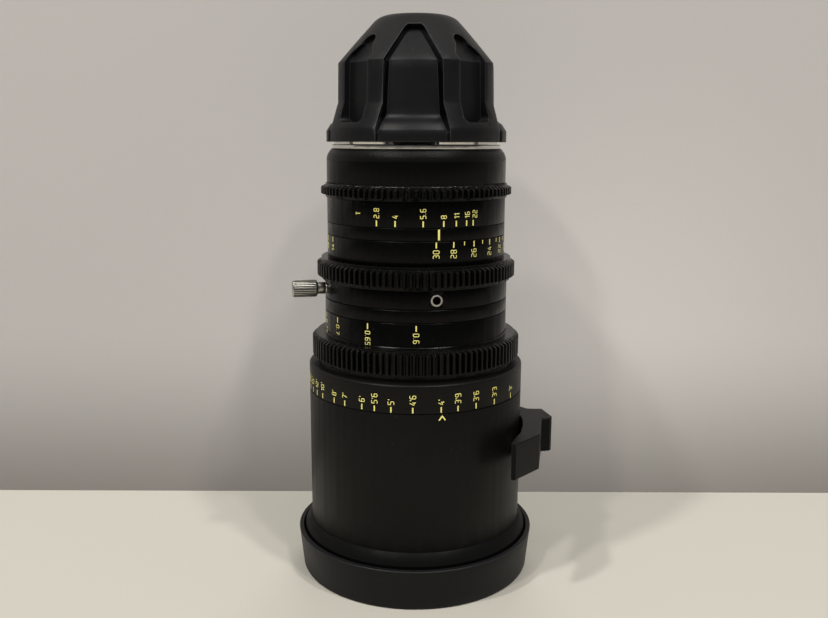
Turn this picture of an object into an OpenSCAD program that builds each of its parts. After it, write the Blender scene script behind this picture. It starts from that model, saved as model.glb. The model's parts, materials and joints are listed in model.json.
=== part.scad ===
// Cinema zoom lens standing on its front cap. Z runs along the optical axis towards the camera mount.
// Azimuth 0 faces the viewer (minus Y) and grows towards plus X. Lengths are in millimetres.

/* [Front cap] */
// height of the push-on front cap
front_cap_h = 16.8; // [14:0.1:17.5]
// wall of the cap round the front ring
front_cap_skin = 1.1; // [0.8:0.05:2]
// how far the cap widens from its base to its rim
front_cap_flare = 1.65; // [1.2:0.05:2.4]
// thickness of the cap's end wall
front_cap_floor = 2; // [1.2:0.1:3]

/* [Front barrel] */
// how far the front barrel stands out from the inner tubes
barrel_step = 9.8; // [8.6:0.1:11.6]
// how far the front ring stands out from the front barrel
front_ring_step = 2.8; // [2:0.1:4]
// wall from the front ring in to the filter thread
filter_wall = 4.5; // [3.8:0.1:5.4]
// where the front barrel meets the focus ring
focus_z = 78.2; // [72:0.2:86]

/* [Follow focus gears] */
// gear module, so that the pitch is 0.8 mm
gear_module = 0.8; // [0.7:0.05:0.9]
// from the inner tubes out to the focus gear's pitch circle
focus_gear_rise = 7.5; // [7:0.1:8]
// from the inner tubes out to the zoom gear's pitch circle
zoom_gear_rise = 5.1; // [4.2:0.1:6]
// from the inner tubes out to the iris gear's pitch circle
iris_gear_rise = 3.1; // [2.6:0.1:4]

/* [Rings] */
// from the inner tubes out to the far-distance sleeve
metre_skin = 2.8; // [2.4:0.05:3.2]
// from the inner tubes out to the zoom and iris scale sleeves
scale_skin = 1.5; // [1.3:0.05:1.9]
// running clearance between a ring and its tube
ring_fit = 0.05; // [0.03:0.01:0.08]
// end gap between a turning ring and its fixed neighbour
ring_gap = 0.2; // [0.12:0.02:0.3]

/* [Zoom lever] */
// azimuth of the lever
lever_az = -78; // [-88:1:-68]
// radius of the lever's smooth neck
lever_neck_r = 2.4; // [1.9:0.05:2.9]
// radius of the lever's knurled head
lever_head_r = 3.55; // [2.9:0.05:4.2]
// length of the lever's smooth neck
lever_neck_len = 3.6; // [2.5:0.1:8]
// length of the lever's knurled head
lever_head_len = 10.1; // [6:0.1:14]

/* [Iris] */
// width of each iris blade
blade_width = 7.8; // [6.6:0.1:9]
// turn of each blade at rest, from fully open
blade_rest = 20.8; // [18:0.1:22]

/* [Camera mount] */
// radius of the register barrel, half of 54 mm
register_r = 27; // [25:0.1:30]
// from the register barrel out to the scale sleeves
register_shoulder = 9.4; // [8.5:0.1:10.5]
// from the register barrel out to the locking wings' edge
wing_rise = 6.6; // [6:0.1:6.7]

/* [Rear cap] */
// height of the rear cap's crown, from its shoulder to its top
rear_cap_crown_h = 18.6; // [15:0.1:24]
// wall of the rear cap
rear_cap_wall = 1; // [0.8:0.05:1.4]
// azimuth of the rear cap's first grip panel
rear_cap_az = -2.5; // [-10:0.5:10]

/* [Support foot] */
// azimuth that the foot's plate faces
foot_az = 79.5; // [72:0.5:88]
// how far the foot's front face lies ahead of the focus ring
foot_back = 26.6; // [22:0.2:32]
// length of the foot along the optical axis
foot_len = 14.6; // [12:0.1:18]
// radius of the quarter inch support screw's hole
foot_hole_r = 3.175; // [2.6:0.005:3.7]

/* [Hidden] */
$fn = 96;
overrun = 0.5;
edge = 0.5;
half_share = 0.5;
double_share = 2;

scale_r = register_r + register_shoulder;
tube_r = scale_r - scale_skin;
metre_r = tube_r + metre_skin;
barrel_r = tube_r + barrel_step;
front_ring_r = barrel_r + front_ring_step;
filter_r = front_ring_r - filter_wall;
front_cap_base_r = front_ring_r + front_cap_skin;
front_cap_rim_r = front_cap_base_r + front_cap_flare;

core_wall = 2.5;
core_in_r = tube_r - core_wall;
guide_wall = 1.4;
guide_in_r = core_in_r - guide_wall;
guide_w = 2.5;
guide_pin_r = 1.2;
cell_fit = 0.05;
web = 4;

front_cap_gap = 0.8;
front_cap_grip_z = 9.6;
front_cap_fit = 0.06;
front_cap_wall = 1.7;
front_cap_lead = 1.4;
front_cap_round = 1;

front_ring_z = front_cap_floor + front_cap_gap;
front_ring_top = 22.2;
front_ring_cone = 4.3;
front_ring_cone_z = front_ring_top - front_ring_cone;
front_spigot_len = 5.8;
front_spigot_z = front_ring_top + front_spigot_len;
front_barrel_wall = 2.5;
front_spigot_r = barrel_r - front_barrel_wall;
filter_depth = 6;
filter_lip = 3.2;
filter_lip_r = filter_r - filter_lip;
name_ring_step = 2;
name_ring_r = filter_r - name_ring_step;
pane_r = name_ring_r;
pane_behind = 0.6;
pane_front_z = front_ring_z + filter_depth + pane_behind;
filter_lip_z = 16.8;
pane_edge_z = 21.8;
pane_front_curve = 110;
pane_back_curve = 50;
pane_thick = 2.5;
retainer_h = 2.6;
retainer_w = 8.5;
retainer_r = pane_r - retainer_w;

focus_sleeve_wall = 1.6;
focus_sleeve_out = front_spigot_r - focus_sleeve_wall;
focus_sleeve_in = focus_sleeve_out - focus_sleeve_wall;
focus_sleeve_z = 30;
focus_slot_z = 40;
focus_slot_h = 12;
focus_cell_z = 38;
focus_cell_h = 20;
focus_cell_wall = 5.4;
focus_cell_in = focus_sleeve_in - focus_cell_wall;
focus_pin_z = 46;
core_flange_drop = 6.2;
core_flange_z = focus_z - core_flange_drop;

feet_lip_step = 1.2;
feet_lip_r = barrel_r - feet_lip_step;
feet_groove_step = 4.2;
feet_groove_r = barrel_r - feet_groove_step;
feet_skirt_wall = 2.3;
feet_skirt_in = barrel_r - feet_skirt_wall;
feet_len = 11.4;
feet_groove_z = focus_z + feet_len;
feet_groove_w = 1.4;
feet_top_z = feet_groove_z + feet_groove_w;
feet_web_rise = 5.8;
feet_web_z = focus_z + feet_web_rise;

focus_gear_len = 11;
focus_gear_top = feet_top_z + focus_gear_len;
focus_gear_shoulder = 1.4;
focus_gear_rim = feet_top_z + focus_gear_shoulder;
focus_gear_back = 0.6;
focus_gear_end = focus_gear_top - focus_gear_back;
metre_len = 9.8;
metre_top = focus_gear_top + metre_len;

metre_index_len = 5.2;
band_z = metre_top + metre_index_len;
core_top_z = band_z;
band_len = 7.5;
band_top = band_z + band_len;
zoom_gear_len = 8.8;
zoom_gear_top = band_top + zoom_gear_len;
zoom_gear_shoulder = 1.1;
zoom_gear_rim = band_top + zoom_gear_shoulder;
zoom_gear_end = zoom_gear_top - zoom_gear_shoulder;
zoom_scale_len = 9.6;
zoom_top = zoom_gear_top + zoom_scale_len;
insert_rise = 3.6;
insert_z = band_z + insert_rise;
insert_r = 2.3;
insert_hole_r = 1.5;
insert_count = 4;
insert_back = 0.2;
insert_proud = 0.25;
lever_gap = 0.35;
lever_neck_end = metre_r + lever_neck_len;
lever_tip = lever_neck_end + lever_head_len;

stop_len = 4.9;
stop_top = zoom_top + stop_len;
iris_scale_len = 9.9;
iris_scale_top = stop_top + iris_scale_len;
iris_gear_len = 5.7;
iris_top = iris_scale_top + iris_gear_len;
iris_gear_shoulder = 0.8;
iris_gear_rim = iris_scale_top + iris_gear_shoulder;
iris_gear_end = iris_top - iris_gear_shoulder;

focus_teeth = round((tube_r + focus_gear_rise) * double_share / gear_module);
zoom_teeth = round((tube_r + zoom_gear_rise) * double_share / gear_module);
iris_teeth = round((tube_r + iris_gear_rise) * double_share / gear_module);

shell_len = 13.4;
shell_top = iris_top + shell_len;
shell_round_h = 4.8;
shell_curve = 6.5;
shell_wall = 5;
shell_in_r = scale_r - shell_wall;
shell_plate = 3;
disc_h = 1.6;
disc_top = shell_top + disc_h;
disc_rise = 7;
mount_disc_r = register_r + disc_rise;
neck_wall = 2;
neck_r = register_r + neck_wall;
wing_r = register_r + wing_rise;
wing_gap = 0.2;
wing_z = disc_top + wing_gap;
wing_h = 2.8;
wing_top = wing_z + wing_h;
wing_span = 56;
wing_az = 45;
notch_w = 2;
notch_depth = 1.2;
register_relief = 0.8;
register_seat_r = register_r - register_relief;
register_relief_h = 0.4;
register_len = 10.6;
register_top = wing_top + register_len;
nose_len = 11;
nose_top = register_top + nose_len;
mount_bolt_rise = 4.6;
mount_bolt_r = register_r + mount_bolt_rise;
mount_bolt_hole_r = 1.1;
mount_bolt_head_r = 1.9;
mount_bolt_head_h = 0.9;
mount_bolt_len = 6;
mount_bolt_cross = 0.6;

guide_base = focus_z - ring_gap;
guide_top = stop_top + ring_gap;
variator_lead = 14;
variator_z = guide_base + variator_lead;
variator_h = 16;
compensator_lead = 3;
compensator_z = band_z + compensator_lead;
compensator_h = 12;
cell_wall = 3;
cell_lip = 1;
cell_relief = 0.8;
cell_land = 2.5;
cell_bite = 1;
guide_short = 0.2;
variator_slot_h = 14;
compensator_slot_h = 9;
zoom_glass_r = guide_in_r - cell_wall;

iris_plate_gap = 1;
iris_plate_z = guide_top + iris_plate_gap;
iris_plate_h = 1.6;
layer = 0.3;
blade_h = 0.2;
blade_count = 12;
blade_pivot_inset = 2.9;
blade_pivot_r = core_in_r - blade_pivot_inset;
blade_pivot_lead = 2.2;
blade_out_r = blade_pivot_r - blade_pivot_lead;
blade_in_r = blade_out_r - blade_width;
blade_lap = 1.1;
iris_hole_r = blade_in_r + blade_lap;
blade_pin_r = 0.7;
blade_pin_hole = 0.75;
blade_tab_r = 1.8;
actuator_gap = 0.7;
actuator_z = iris_plate_z + iris_plate_h + blade_count * layer + actuator_gap;
actuator_h = 1.4;
actuator_key_w = 3;
actuator_fit = 0.1;
iris_window_az = 180;
iris_window_span = 72;
iris_key_lead = 7.4;
blade_span = 125;
blade_root_span = 6;
blade_wedge_steps = 7;

relay_lead = 2.3;
relay_z = iris_scale_top + relay_lead;
relay_wall = 4.5;
relay_inset = 2.5;
relay_r = register_r - relay_inset;
relay_in = relay_r - relay_wall;
relay_drop = 2;
relay_top = register_top - relay_drop;
nose_step = 1;
nose_r = relay_r - nose_step;
nose_in_r = relay_in - nose_step;
nose_lip_h = 2;
nose_lip_r = nose_in_r - nose_lip_h;

tooth_depth_share = 2.25;
tooth_root_share = 0.39;
tooth_tip_share = 0.13;
gear_phase_share = 0.25;
gear_bevel = 1;

// curvature of each glass face, as a share of the glass's own radius
glass_facets = 360;
focus_glass_edge = 4;
focus_glass_b_rise = 12.5;
focus_bend_a_share = 2.68;
focus_bend_b_share = 3.57;
zoom_glass_edge = 3;
variator_edge = 7.5;
variator_bend_a_share = 5;
variator_bend_b_share = 3.2;
compensator_bend_share = 2.86;
relay_glass_edge = 3;
relay_bend_a_share = 2.25;
relay_bend_b_share = 3;

foot_z = focus_z - foot_back;
foot_bolt_r = 1.5;
foot_bolt_fit = 0.1;
foot_bolt_x = 7;
foot_bolt_inset = 3.7;
foot_bolt_head_r = 2.75;
foot_bolt_head_h = 3;
foot_bolt_seat_rise = 5.8;
foot_bolt_seat = barrel_r + foot_bolt_seat_rise;
foot_bolt_bite = 2.3;
foot_bolt_tip = barrel_r - foot_bolt_bite;
foot_key_r = 1.45;
foot_hole_x = -11.5;
foot_bevel = 0.7;

// foot in plan: place along the plate, then height over the barrel's surface
foot_plan = [
    [13.6, -4.7], [13.6, -0.4], [11.4, 2.4], [12.2, 8.6], [2, 13.3], [0.6, 12.7], [-1, 9.3],
    [-22.4, 9.4], [-36, 1.3], [-35.2, -0.7], [-32, -0.1], [-27.3, 0.6], [-21, 1.9],
    [-13.9, 2.1], [-9, 2], [-4, 1.4], [0.6, 0.3], [1.4, -4.7]
];
foot_end_a = [-22.4, 9.4];
foot_end_b = [-36, 1.3];
foot_lip_a = [0.6, 12.7];
foot_lip_b = [-1, 9.3];

// rear cap: its base sits over the wings, its walls over the register barrel and its crown over the nose
rear_cap_lift = 1;
rear_cap_z = disc_top + rear_cap_lift;
cap_wing_fit = 0.3;
cap_seat_fit = 1.1;
cap_seat_rise = 1.2;
cap_barrel_fit = 0.4;
cap_nose_gap = 3.2;
cap_base_wall = 2;
cap_crown_back = 2.4;
cap_cavity_top_r = 12;
cap_cavity_low = 1.4;
cap_wing_r = wing_r + cap_wing_fit;
cap_wing_top = wing_top + cap_wing_fit;
cap_bore_r = register_r + cap_barrel_fit;
cap_seat_step = cap_seat_fit - cap_barrel_fit;
cap_seat_r = cap_bore_r + cap_seat_step;
cap_seat_top = register_top + cap_seat_rise;
cap_shoulder_z = nose_top + cap_nose_gap + cap_nose_gap;
rear_cap_r = cap_wing_r + cap_base_wall;
rear_cap_top = cap_shoulder_z + rear_cap_crown_h;
cap_pocket_floor_r = cap_bore_r + rear_cap_wall;

// outlines are drawn as steps out from the register barrel, with heights that are shares:
// 0 to 1 up the sides from the cap's edge to its shoulder, then 1 to 2 up the crown
cap_body = [
    [8.9, 0], [8.9, 0.16], [8.5, 0.188], [5.7, 0.46], [5.3, 0.5], [5, 1],
    [-10.4, 1.9], [-11.8, 1.952], [-13.4, 1.989], [-15, 2]
];
cap_floor_line = [
    [8, 0], [8, 0.12], [4, 0.24], [1.8, 0.32], [1.6, 0.98], [-12.4, 1.83]
];
cap_panel_line = [
    [9.3, 0], [9.3, 0.14], [9, 0.157], [7.6, 0.23], [4.7, 0.3], [4.2, 0.347], [3.7, 0.985],
    [3.3, 1.02], [-11, 1.86]
];
// fronts are drawn as half widths, in shares of the register barrel's radius, with the same shares of height
cap_channel_side = [
    [0.515, -0.05], [0.515, 0.17], [0.4185, 0.474], [0.4037, 1.005], [0.137, 1.68], [0.0963, 1.74]
];
cap_panel_side = [
    [0.463, -0.05], [0.463, 0.15], [0.363, 0.34], [0.326, 0.99], [0.1148, 1.51], [0.0852, 1.55]
];
cap_channel_lap_share = 0.02;
cap_pocket_half_share = 0.2537;
cap_pocket_half = register_r * cap_pocket_half_share;
cap_pocket_corner_share = 0.0963;
cap_pocket_corner = register_r * cap_pocket_corner_share;
cap_pocket_top_share = 0.1333;
cap_pocket_top_r = register_r * cap_pocket_top_share;
cap_pocket_base = 0.24;
cap_pocket_neck = 1.14;
cap_pocket_top = 1.36;
cap_pocket_back = 13.5;

// height of a drawn share of the rear cap
function cap_height(share) = share < 1
    ? rear_cap_z + share * (cap_shoulder_z - rear_cap_z)
    : cap_shoulder_z + (share - 1) * rear_cap_crown_h;

// closed outline of a turned part of the rear cap
function cap_outline(p) = concat(
    [[0, cap_height(p[0][1])]],
    [for (q = p) [register_r + q[0], cap_height(q[1])]],
    [[0, cap_height(p[len(p) - 1][1])]]
);

// the same right side, a share further out
function widened(p, share) = [for (q = p) [q[0] + share, q[1]]];

// even front of a panel or channel, from its right side
function cap_front(p) = concat(
    [for (q = p) [q[0] * register_r, cap_height(q[1])]],
    [for (i = [len(p) - 1 : -1 : 0]) [-p[i][0] * register_r, cap_height(p[i][1])]]
);

// point of the foot's plan
function foot_point(q) = [q[0], -barrel_r - q[1]];

// turns a child built at azimuth 0 round to another azimuth
module at_az(az) {
    rotate([0, 0, az]) children();
}

// plain tube between two heights
module tube(out_r, in_r, z_lo, z_hi) {
    translate([0, 0, z_lo])
    difference() {
        cylinder(r = out_r, h = z_hi - z_lo);
        translate([0, 0, -overrun])
        cylinder(r = in_r, h = z_hi - z_lo + overrun + overrun);
    }
}

// solid of revolution from radius and height pairs
module turned(points) {
    rotate_extrude() polygon(points);
}

// round hole or pin lying radially at azimuth 0, between two radii
module radial(r, from_r, to_r, z) {
    translate([0, -from_r, z])
    rotate([90, 0, 0])
    cylinder(r = r, h = to_r - from_r);
}

// ring of gear teeth in plan, clear of the bore
module gear_plan(teeth, in_r) {
    tip_r = gear_module * (teeth + 2) * half_share;
    root_r = tip_r - gear_module * tooth_depth_share;
    pitch = 360 / teeth;
    root_half = pitch * tooth_root_share;
    tip_half = pitch * tooth_tip_share;
    difference() {
        polygon([
            for (i = [0 : teeth - 1])
            for (k = [0 : 3])
            let (
                a = (i + gear_phase_share) * pitch
                    + [-root_half, -tip_half, tip_half, root_half][k],
                r = [root_r, tip_r, tip_r, root_r][k]
            )
            [r * cos(a), r * sin(a)]
        ]);
        circle(r = in_r);
    }
}

// gear ring with bevelled tooth ends: shoulders under and over the teeth
module gear_ring(teeth, in_r, z_lo, z_rim, z_end, z_hi) {
    tip_r = gear_module * (teeth + 2) * half_share;
    root_r = tip_r - gear_module * tooth_depth_share;
    intersection() {
        union() {
            translate([0, 0, z_rim])
            linear_extrude(height = z_end - z_rim) gear_plan(teeth, in_r);
            tube(root_r, in_r, z_lo, z_hi);
        }
        turned([
            [in_r, z_lo],
            [root_r, z_lo],
            [root_r, z_rim],
            [tip_r, z_rim + edge],
            [tip_r, z_end - gear_bevel],
            [root_r, z_end],
            [root_r, z_hi],
            [in_r, z_hi]
        ]);
    }
}

// lens element: a disc with a front and a back curved by a share of its radius
// negative shares hollow the face
module element(r, z_edge, edge_h, front_share, back_share) {
    front_curve = r * front_share;
    back_curve = r * back_share;
    front_rise = curve_rise(front_curve, r);
    back_rise = curve_rise(back_curve, r);
    difference() {
        intersection() {
            translate([0, 0, z_edge - max(front_rise, 0)])
            cylinder(r = r, h = edge_h + max(front_rise, 0) + max(back_rise, 0));
            if (front_curve > 0)
            translate([0, 0, z_edge - front_rise + front_curve]) sphere(r = front_curve, $fn = glass_facets);
            if (back_curve > 0)
            translate([0, 0, z_edge + edge_h + back_rise - back_curve]) sphere(r = back_curve, $fn = glass_facets);
        }
        if (front_curve < 0)
        translate([0, 0, z_edge - front_rise + front_curve]) sphere(r = -front_curve, $fn = glass_facets);
        if (back_curve < 0)
        translate([0, 0, z_edge + edge_h + back_rise - back_curve]) sphere(r = -back_curve, $fn = glass_facets);
    }
}

// how far a face of one curvature stands out from its edge circle
function curve_rise(c, r) = c > 0 ? c - sqrt(c * c - r * r) : -(-c - sqrt(c * c - r * r));

// cell that holds elements and slides on guide pins
module sliding_cell(out_r, in_r, z_lo, h, pin_z, pin_to, pin_r, pin_az) {
    color([0.13, 0.13, 0.14]) {
        difference() {
            tube(out_r, in_r, z_lo, z_lo + h);
            tube(out_r + overrun, out_r - cell_relief, z_lo + cell_land, z_lo + h - cell_land);
        }
        for (i = [0 : 2])
        at_az(pin_az + i * 120)
        radial(pin_r, in_r + cell_bite, pin_to, pin_z);
    }
}

// three straight slots along a tube for the guide pins
module guide_slots(width, from_r, to_r, z_lo, h, az) {
    for (i = [0 : 2])
    at_az(az + i * 120) {
        translate([-width * half_share, -to_r, z_lo])
        cube([width, to_r - from_r, h]);
        for (z = [z_lo, z_lo + h])
        radial(width * half_share, from_r, to_r, z);
    }
}

module front_cap() {
    color([0.1, 0.1, 0.1])
    difference() {
        union() {
            turned([
                [0, 0],
                [front_cap_base_r - front_cap_round, 0],
                [front_cap_base_r, front_cap_round],
                [front_cap_rim_r, front_cap_h - edge * half_share],
                [front_cap_rim_r - edge * half_share, front_cap_h],
                [0, front_cap_h]
            ]);
            translate([0, 0, front_cap_round])
            rotate_extrude()
            translate([front_cap_base_r - front_cap_round, 0])
            circle(r = front_cap_round);
        }
        turned([
            [0, front_cap_floor],
            [front_ring_r + front_cap_fit, front_cap_floor],
            [front_ring_r + front_cap_fit, front_cap_grip_z],
            [front_cap_rim_r - front_cap_wall, front_cap_grip_z + front_cap_lead],
            [front_cap_rim_r - front_cap_wall, front_cap_h + overrun],
            [0, front_cap_h + overrun]
        ]);
    }
}

module front_ring() {
    color([0.07, 0.07, 0.07])
    turned([
        [filter_r, front_ring_z],
        [front_ring_r - edge, front_ring_z],
        [front_ring_r, front_ring_z + edge],
        [front_ring_r, front_ring_cone_z],
        [barrel_r + edge * half_share, front_ring_top],
        [front_spigot_r, front_ring_top],
        [front_spigot_r, front_spigot_z],
        [name_ring_r, front_spigot_z],
        [name_ring_r, filter_lip_z],
        [filter_lip_r, filter_lip_z],
        [filter_lip_r, front_ring_z + filter_depth + front_cap_round],
        [name_ring_r, front_ring_z + filter_depth],
        [filter_r, front_ring_z + filter_depth]
    ]);
}

module front_element() {
    color([0.25, 0.4, 0.5, 0.35])
    difference() {
        intersection() {
            translate([0, 0, pane_front_z])
            cylinder(r = pane_r, h = pane_edge_z - pane_front_z);
            translate([0, 0, pane_front_z + pane_front_curve])
            sphere(r = pane_front_curve, $fn = glass_facets);
        }
        translate([0, 0, pane_front_z + pane_thick + pane_back_curve])
        sphere(r = pane_back_curve, $fn = glass_facets);
    }
}

module front_retainer() {
    color([0.06, 0.06, 0.06])
    turned([
        [retainer_r, pane_edge_z],
        [name_ring_r, pane_edge_z],
        [name_ring_r, pane_edge_z + retainer_h],
        [retainer_r + retainer_h, pane_edge_z + retainer_h]
    ]);
}

module front_barrel() {
    color([0.1, 0.1, 0.09])
    difference() {
        turned([
            [front_spigot_r, front_ring_top],
            [barrel_r, front_ring_top],
            [barrel_r, focus_z - ring_gap],
            [front_spigot_r, focus_z - ring_gap]
        ]);
        foot_bolts(foot_bolt_tip - overrun, barrel_r + overrun, foot_bolt_r + foot_bolt_fit);
    }
}

module focus_sleeve() {
    color([0.2, 0.2, 0.2])
    difference() {
        union() {
            tube(focus_sleeve_out, focus_sleeve_in, focus_sleeve_z, core_flange_z);
            tube(front_spigot_r, focus_sleeve_in, focus_sleeve_z, focus_sleeve_z + web);
        }
        guide_slots(guide_w, focus_sleeve_in - overrun, focus_sleeve_out + overrun,
            focus_slot_z, focus_slot_h, 0);
    }
}

module focus_cell() {
    sliding_cell(focus_sleeve_in - cell_fit, focus_cell_in, focus_cell_z, focus_cell_h,
        focus_pin_z, focus_sleeve_out - edge, guide_pin_r, 0);
}

module focus_element_a() {
    color([0.25, 0.4, 0.5, 0.35])
    element(focus_cell_in, focus_cell_z + cell_lip, focus_glass_edge,
        focus_bend_a_share, -focus_bend_a_share);
}

module focus_element_b() {
    color([0.25, 0.4, 0.5, 0.35])
    element(focus_cell_in, focus_cell_z + focus_glass_b_rise, focus_glass_edge,
        focus_bend_b_share, focus_bend_b_share);
}

module core_tube() {
    color([0.16, 0.16, 0.16])
    difference() {
        union() {
            tube(tube_r, core_in_r, core_flange_z, core_top_z);
            tube(front_spigot_r, core_in_r, core_flange_z, core_flange_z + web);
        }
        core_reliefs();
    }
}

// shallow lightening groove between the two bearing lands of the focus ring
module core_reliefs() {
    tube(tube_r + overrun, tube_r - cell_relief, core_flange_z + web + web,
        focus_z + edge + web + edge);
}

module feet_sleeve() {
    color([0.1, 0.1, 0.09]) {
        turned([
            [tube_r + ring_fit, feet_web_z],
            [feet_skirt_in, feet_web_z],
            [feet_skirt_in, focus_z],
            [barrel_r - edge * half_share, focus_z],
            [barrel_r, focus_z + edge * half_share],
            [barrel_r, feet_groove_z - feet_lip_step],
            [feet_lip_r, feet_groove_z - feet_lip_step],
            [feet_lip_r, feet_groove_z],
            [feet_groove_r, feet_groove_z],
            [feet_groove_r, feet_top_z],
            [tube_r + ring_fit, feet_top_z]
        ]);
        translate([0, 0, feet_groove_z - feet_lip_step])
        rotate_extrude()
        translate([feet_lip_r, 0])
        circle(r = feet_lip_step);
    }
}

module focus_gear() {
    color([0.05, 0.05, 0.05])
    gear_ring(focus_teeth, tube_r + ring_fit, feet_top_z, focus_gear_rim, focus_gear_end,
        focus_gear_top);
}

module metre_sleeve() {
    color([0.07, 0.07, 0.07])
    turned([
        [tube_r + ring_fit, focus_gear_top],
        [metre_r + edge, focus_gear_top],
        [metre_r, focus_gear_top + edge],
        [metre_r, metre_top - ring_gap],
        [tube_r + ring_fit, metre_top - ring_gap]
    ]);
}

module metre_index_ring() {
    color([0.07, 0.07, 0.07])
    tube(metre_r, tube_r, metre_top, band_z - ring_gap);
}

module guide_tube() {
    color([0.3, 0.3, 0.3])
    difference() {
        tube(core_in_r, guide_in_r, guide_base, guide_top);
        guide_slots(guide_w, guide_in_r - overrun, core_in_r + overrun,
            variator_z + variator_h * half_share - variator_slot_h, variator_slot_h, 60);
        guide_slots(guide_w, guide_in_r - overrun, core_in_r + overrun,
            compensator_z + compensator_h * half_share, compensator_slot_h, 0);
    }
}

module variator_cell() {
    sliding_cell(guide_in_r - cell_fit, zoom_glass_r, variator_z, variator_h,
        variator_z + variator_h * half_share, core_in_r - guide_short, guide_pin_r, 60);
}

module variator_element_a() {
    color([0.25, 0.4, 0.5, 0.35])
    element(zoom_glass_r, variator_z + cell_lip, variator_edge,
        -variator_bend_a_share, -variator_bend_a_share);
}

module variator_element_b() {
    color([0.25, 0.4, 0.5, 0.35])
    element(zoom_glass_r, variator_z + variator_h - cell_lip - zoom_glass_edge,
        zoom_glass_edge, variator_bend_b_share, -variator_bend_b_share);
}

module compensator_cell() {
    sliding_cell(guide_in_r - cell_fit, zoom_glass_r, compensator_z, compensator_h,
        compensator_z + compensator_h * half_share, core_in_r - guide_short, guide_pin_r, 0);
}

module compensator_element() {
    color([0.25, 0.4, 0.5, 0.35])
    element(zoom_glass_r, compensator_z + cell_wall, zoom_glass_edge,
        compensator_bend_share, compensator_bend_share);
}

module zoom_tube() {
    color([0.16, 0.16, 0.16])
    tube(tube_r, core_in_r, core_top_z, guide_top);
}

module zoom_band() {
    color([0.07, 0.07, 0.07])
    difference() {
        turned([
            [tube_r + ring_fit, band_z],
            [metre_r - edge * half_share, band_z],
            [metre_r, band_z + edge * half_share],
            [metre_r, band_top],
            [tube_r + ring_fit, band_top]
        ]);
        for (i = [0 : insert_count - 1])
        at_az(lever_az + i * 360 / insert_count)
        radial(insert_r, tube_r - overrun, metre_r + overrun, insert_z);
    }
}

module zoom_gear() {
    color([0.05, 0.05, 0.05])
    gear_ring(zoom_teeth, tube_r + ring_fit, band_top, zoom_gear_rim, zoom_gear_end,
        zoom_gear_top);
}

module zoom_scale() {
    color([0.07, 0.07, 0.07])
    turned([
        [tube_r + ring_fit, zoom_gear_top],
        [scale_r, zoom_gear_top],
        [scale_r, zoom_top - ring_gap],
        [tube_r + ring_fit, zoom_top - ring_gap]
    ]);
}

module thread_inserts() {
    color([0.75, 0.74, 0.7])
    for (i = [0 : insert_count - 1])
    at_az(lever_az + i * 360 / insert_count)
    difference() {
        radial(insert_r, tube_r + insert_back, metre_r + insert_proud, insert_z);
        radial(insert_hole_r, tube_r - overrun, metre_r + overrun + insert_proud, insert_z);
    }
}

module lever_stem() {
    color([0.8, 0.8, 0.8])
    at_az(lever_az) {
        radial(insert_hole_r - ring_fit, tube_r + insert_back + ring_gap, metre_r + lever_gap, insert_z);
        radial(lever_neck_r, metre_r + lever_gap, lever_neck_end, insert_z);
    }
}

module lever_head() {
    color([0.8, 0.8, 0.8])
    at_az(lever_az)
    translate([0, -lever_neck_end, insert_z])
    rotate([90, 0, 0])
    rotate_extrude()
    polygon([
        [0, 0],
        [lever_head_r - edge, 0],
        [lever_head_r, edge],
        [lever_head_r, lever_tip - lever_neck_end - edge],
        [lever_head_r - edge, lever_tip - lever_neck_end],
        [0, lever_tip - lever_neck_end]
    ]);
}

module stop_index_ring() {
    color([0.07, 0.07, 0.07])
    tube(scale_r, tube_r, zoom_top, stop_top - ring_gap);
}

module iris_tube() {
    color([0.16, 0.16, 0.16])
    difference() {
        tube(tube_r, core_in_r, guide_top, iris_top);
        at_az(iris_window_az)
        translate([0, 0, actuator_z - ring_gap])
        rotate([0, 0, -90 - iris_window_span * half_share])
        rotate_extrude(angle = iris_window_span)
        translate([core_in_r - overrun, 0])
        square([tube_r - core_in_r + overrun + overrun, actuator_h + ring_gap + ring_gap]);
    }
}

module iris_scale() {
    color([0.07, 0.07, 0.07])
    turned([
        [tube_r + ring_fit, stop_top],
        [scale_r, stop_top],
        [scale_r, iris_scale_top],
        [tube_r + ring_fit, iris_scale_top]
    ]);
}

module iris_gear() {
    color([0.05, 0.05, 0.05])
    gear_ring(iris_teeth, tube_r + ring_fit, iris_scale_top, iris_gear_rim, iris_gear_end,
        iris_top - ring_gap);
}

// ring under the iris tube with one key that reaches the iris ring through a window
module iris_actuator() {
    color([0.45, 0.42, 0.3]) {
        tube(core_in_r - actuator_fit, iris_hole_r, actuator_z, actuator_z + actuator_h);
        at_az(iris_window_az - iris_key_lead)
        translate([-actuator_key_w * half_share, -tube_r - ring_fit, actuator_z])
        cube([actuator_key_w, tube_r + ring_fit - core_in_r + edge + edge, actuator_h]);
    }
}

module iris_plate() {
    color([0.3, 0.3, 0.3])
    difference() {
        tube(core_in_r, iris_hole_r, iris_plate_z, iris_plate_z + iris_plate_h);
        for (i = [0 : blade_count - 1])
        at_az(i * 360 / blade_count)
        translate([0, -blade_pivot_r, iris_plate_z - overrun])
        cylinder(r = blade_pin_hole, h = iris_plate_h + overrun + overrun);
    }
}

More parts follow.
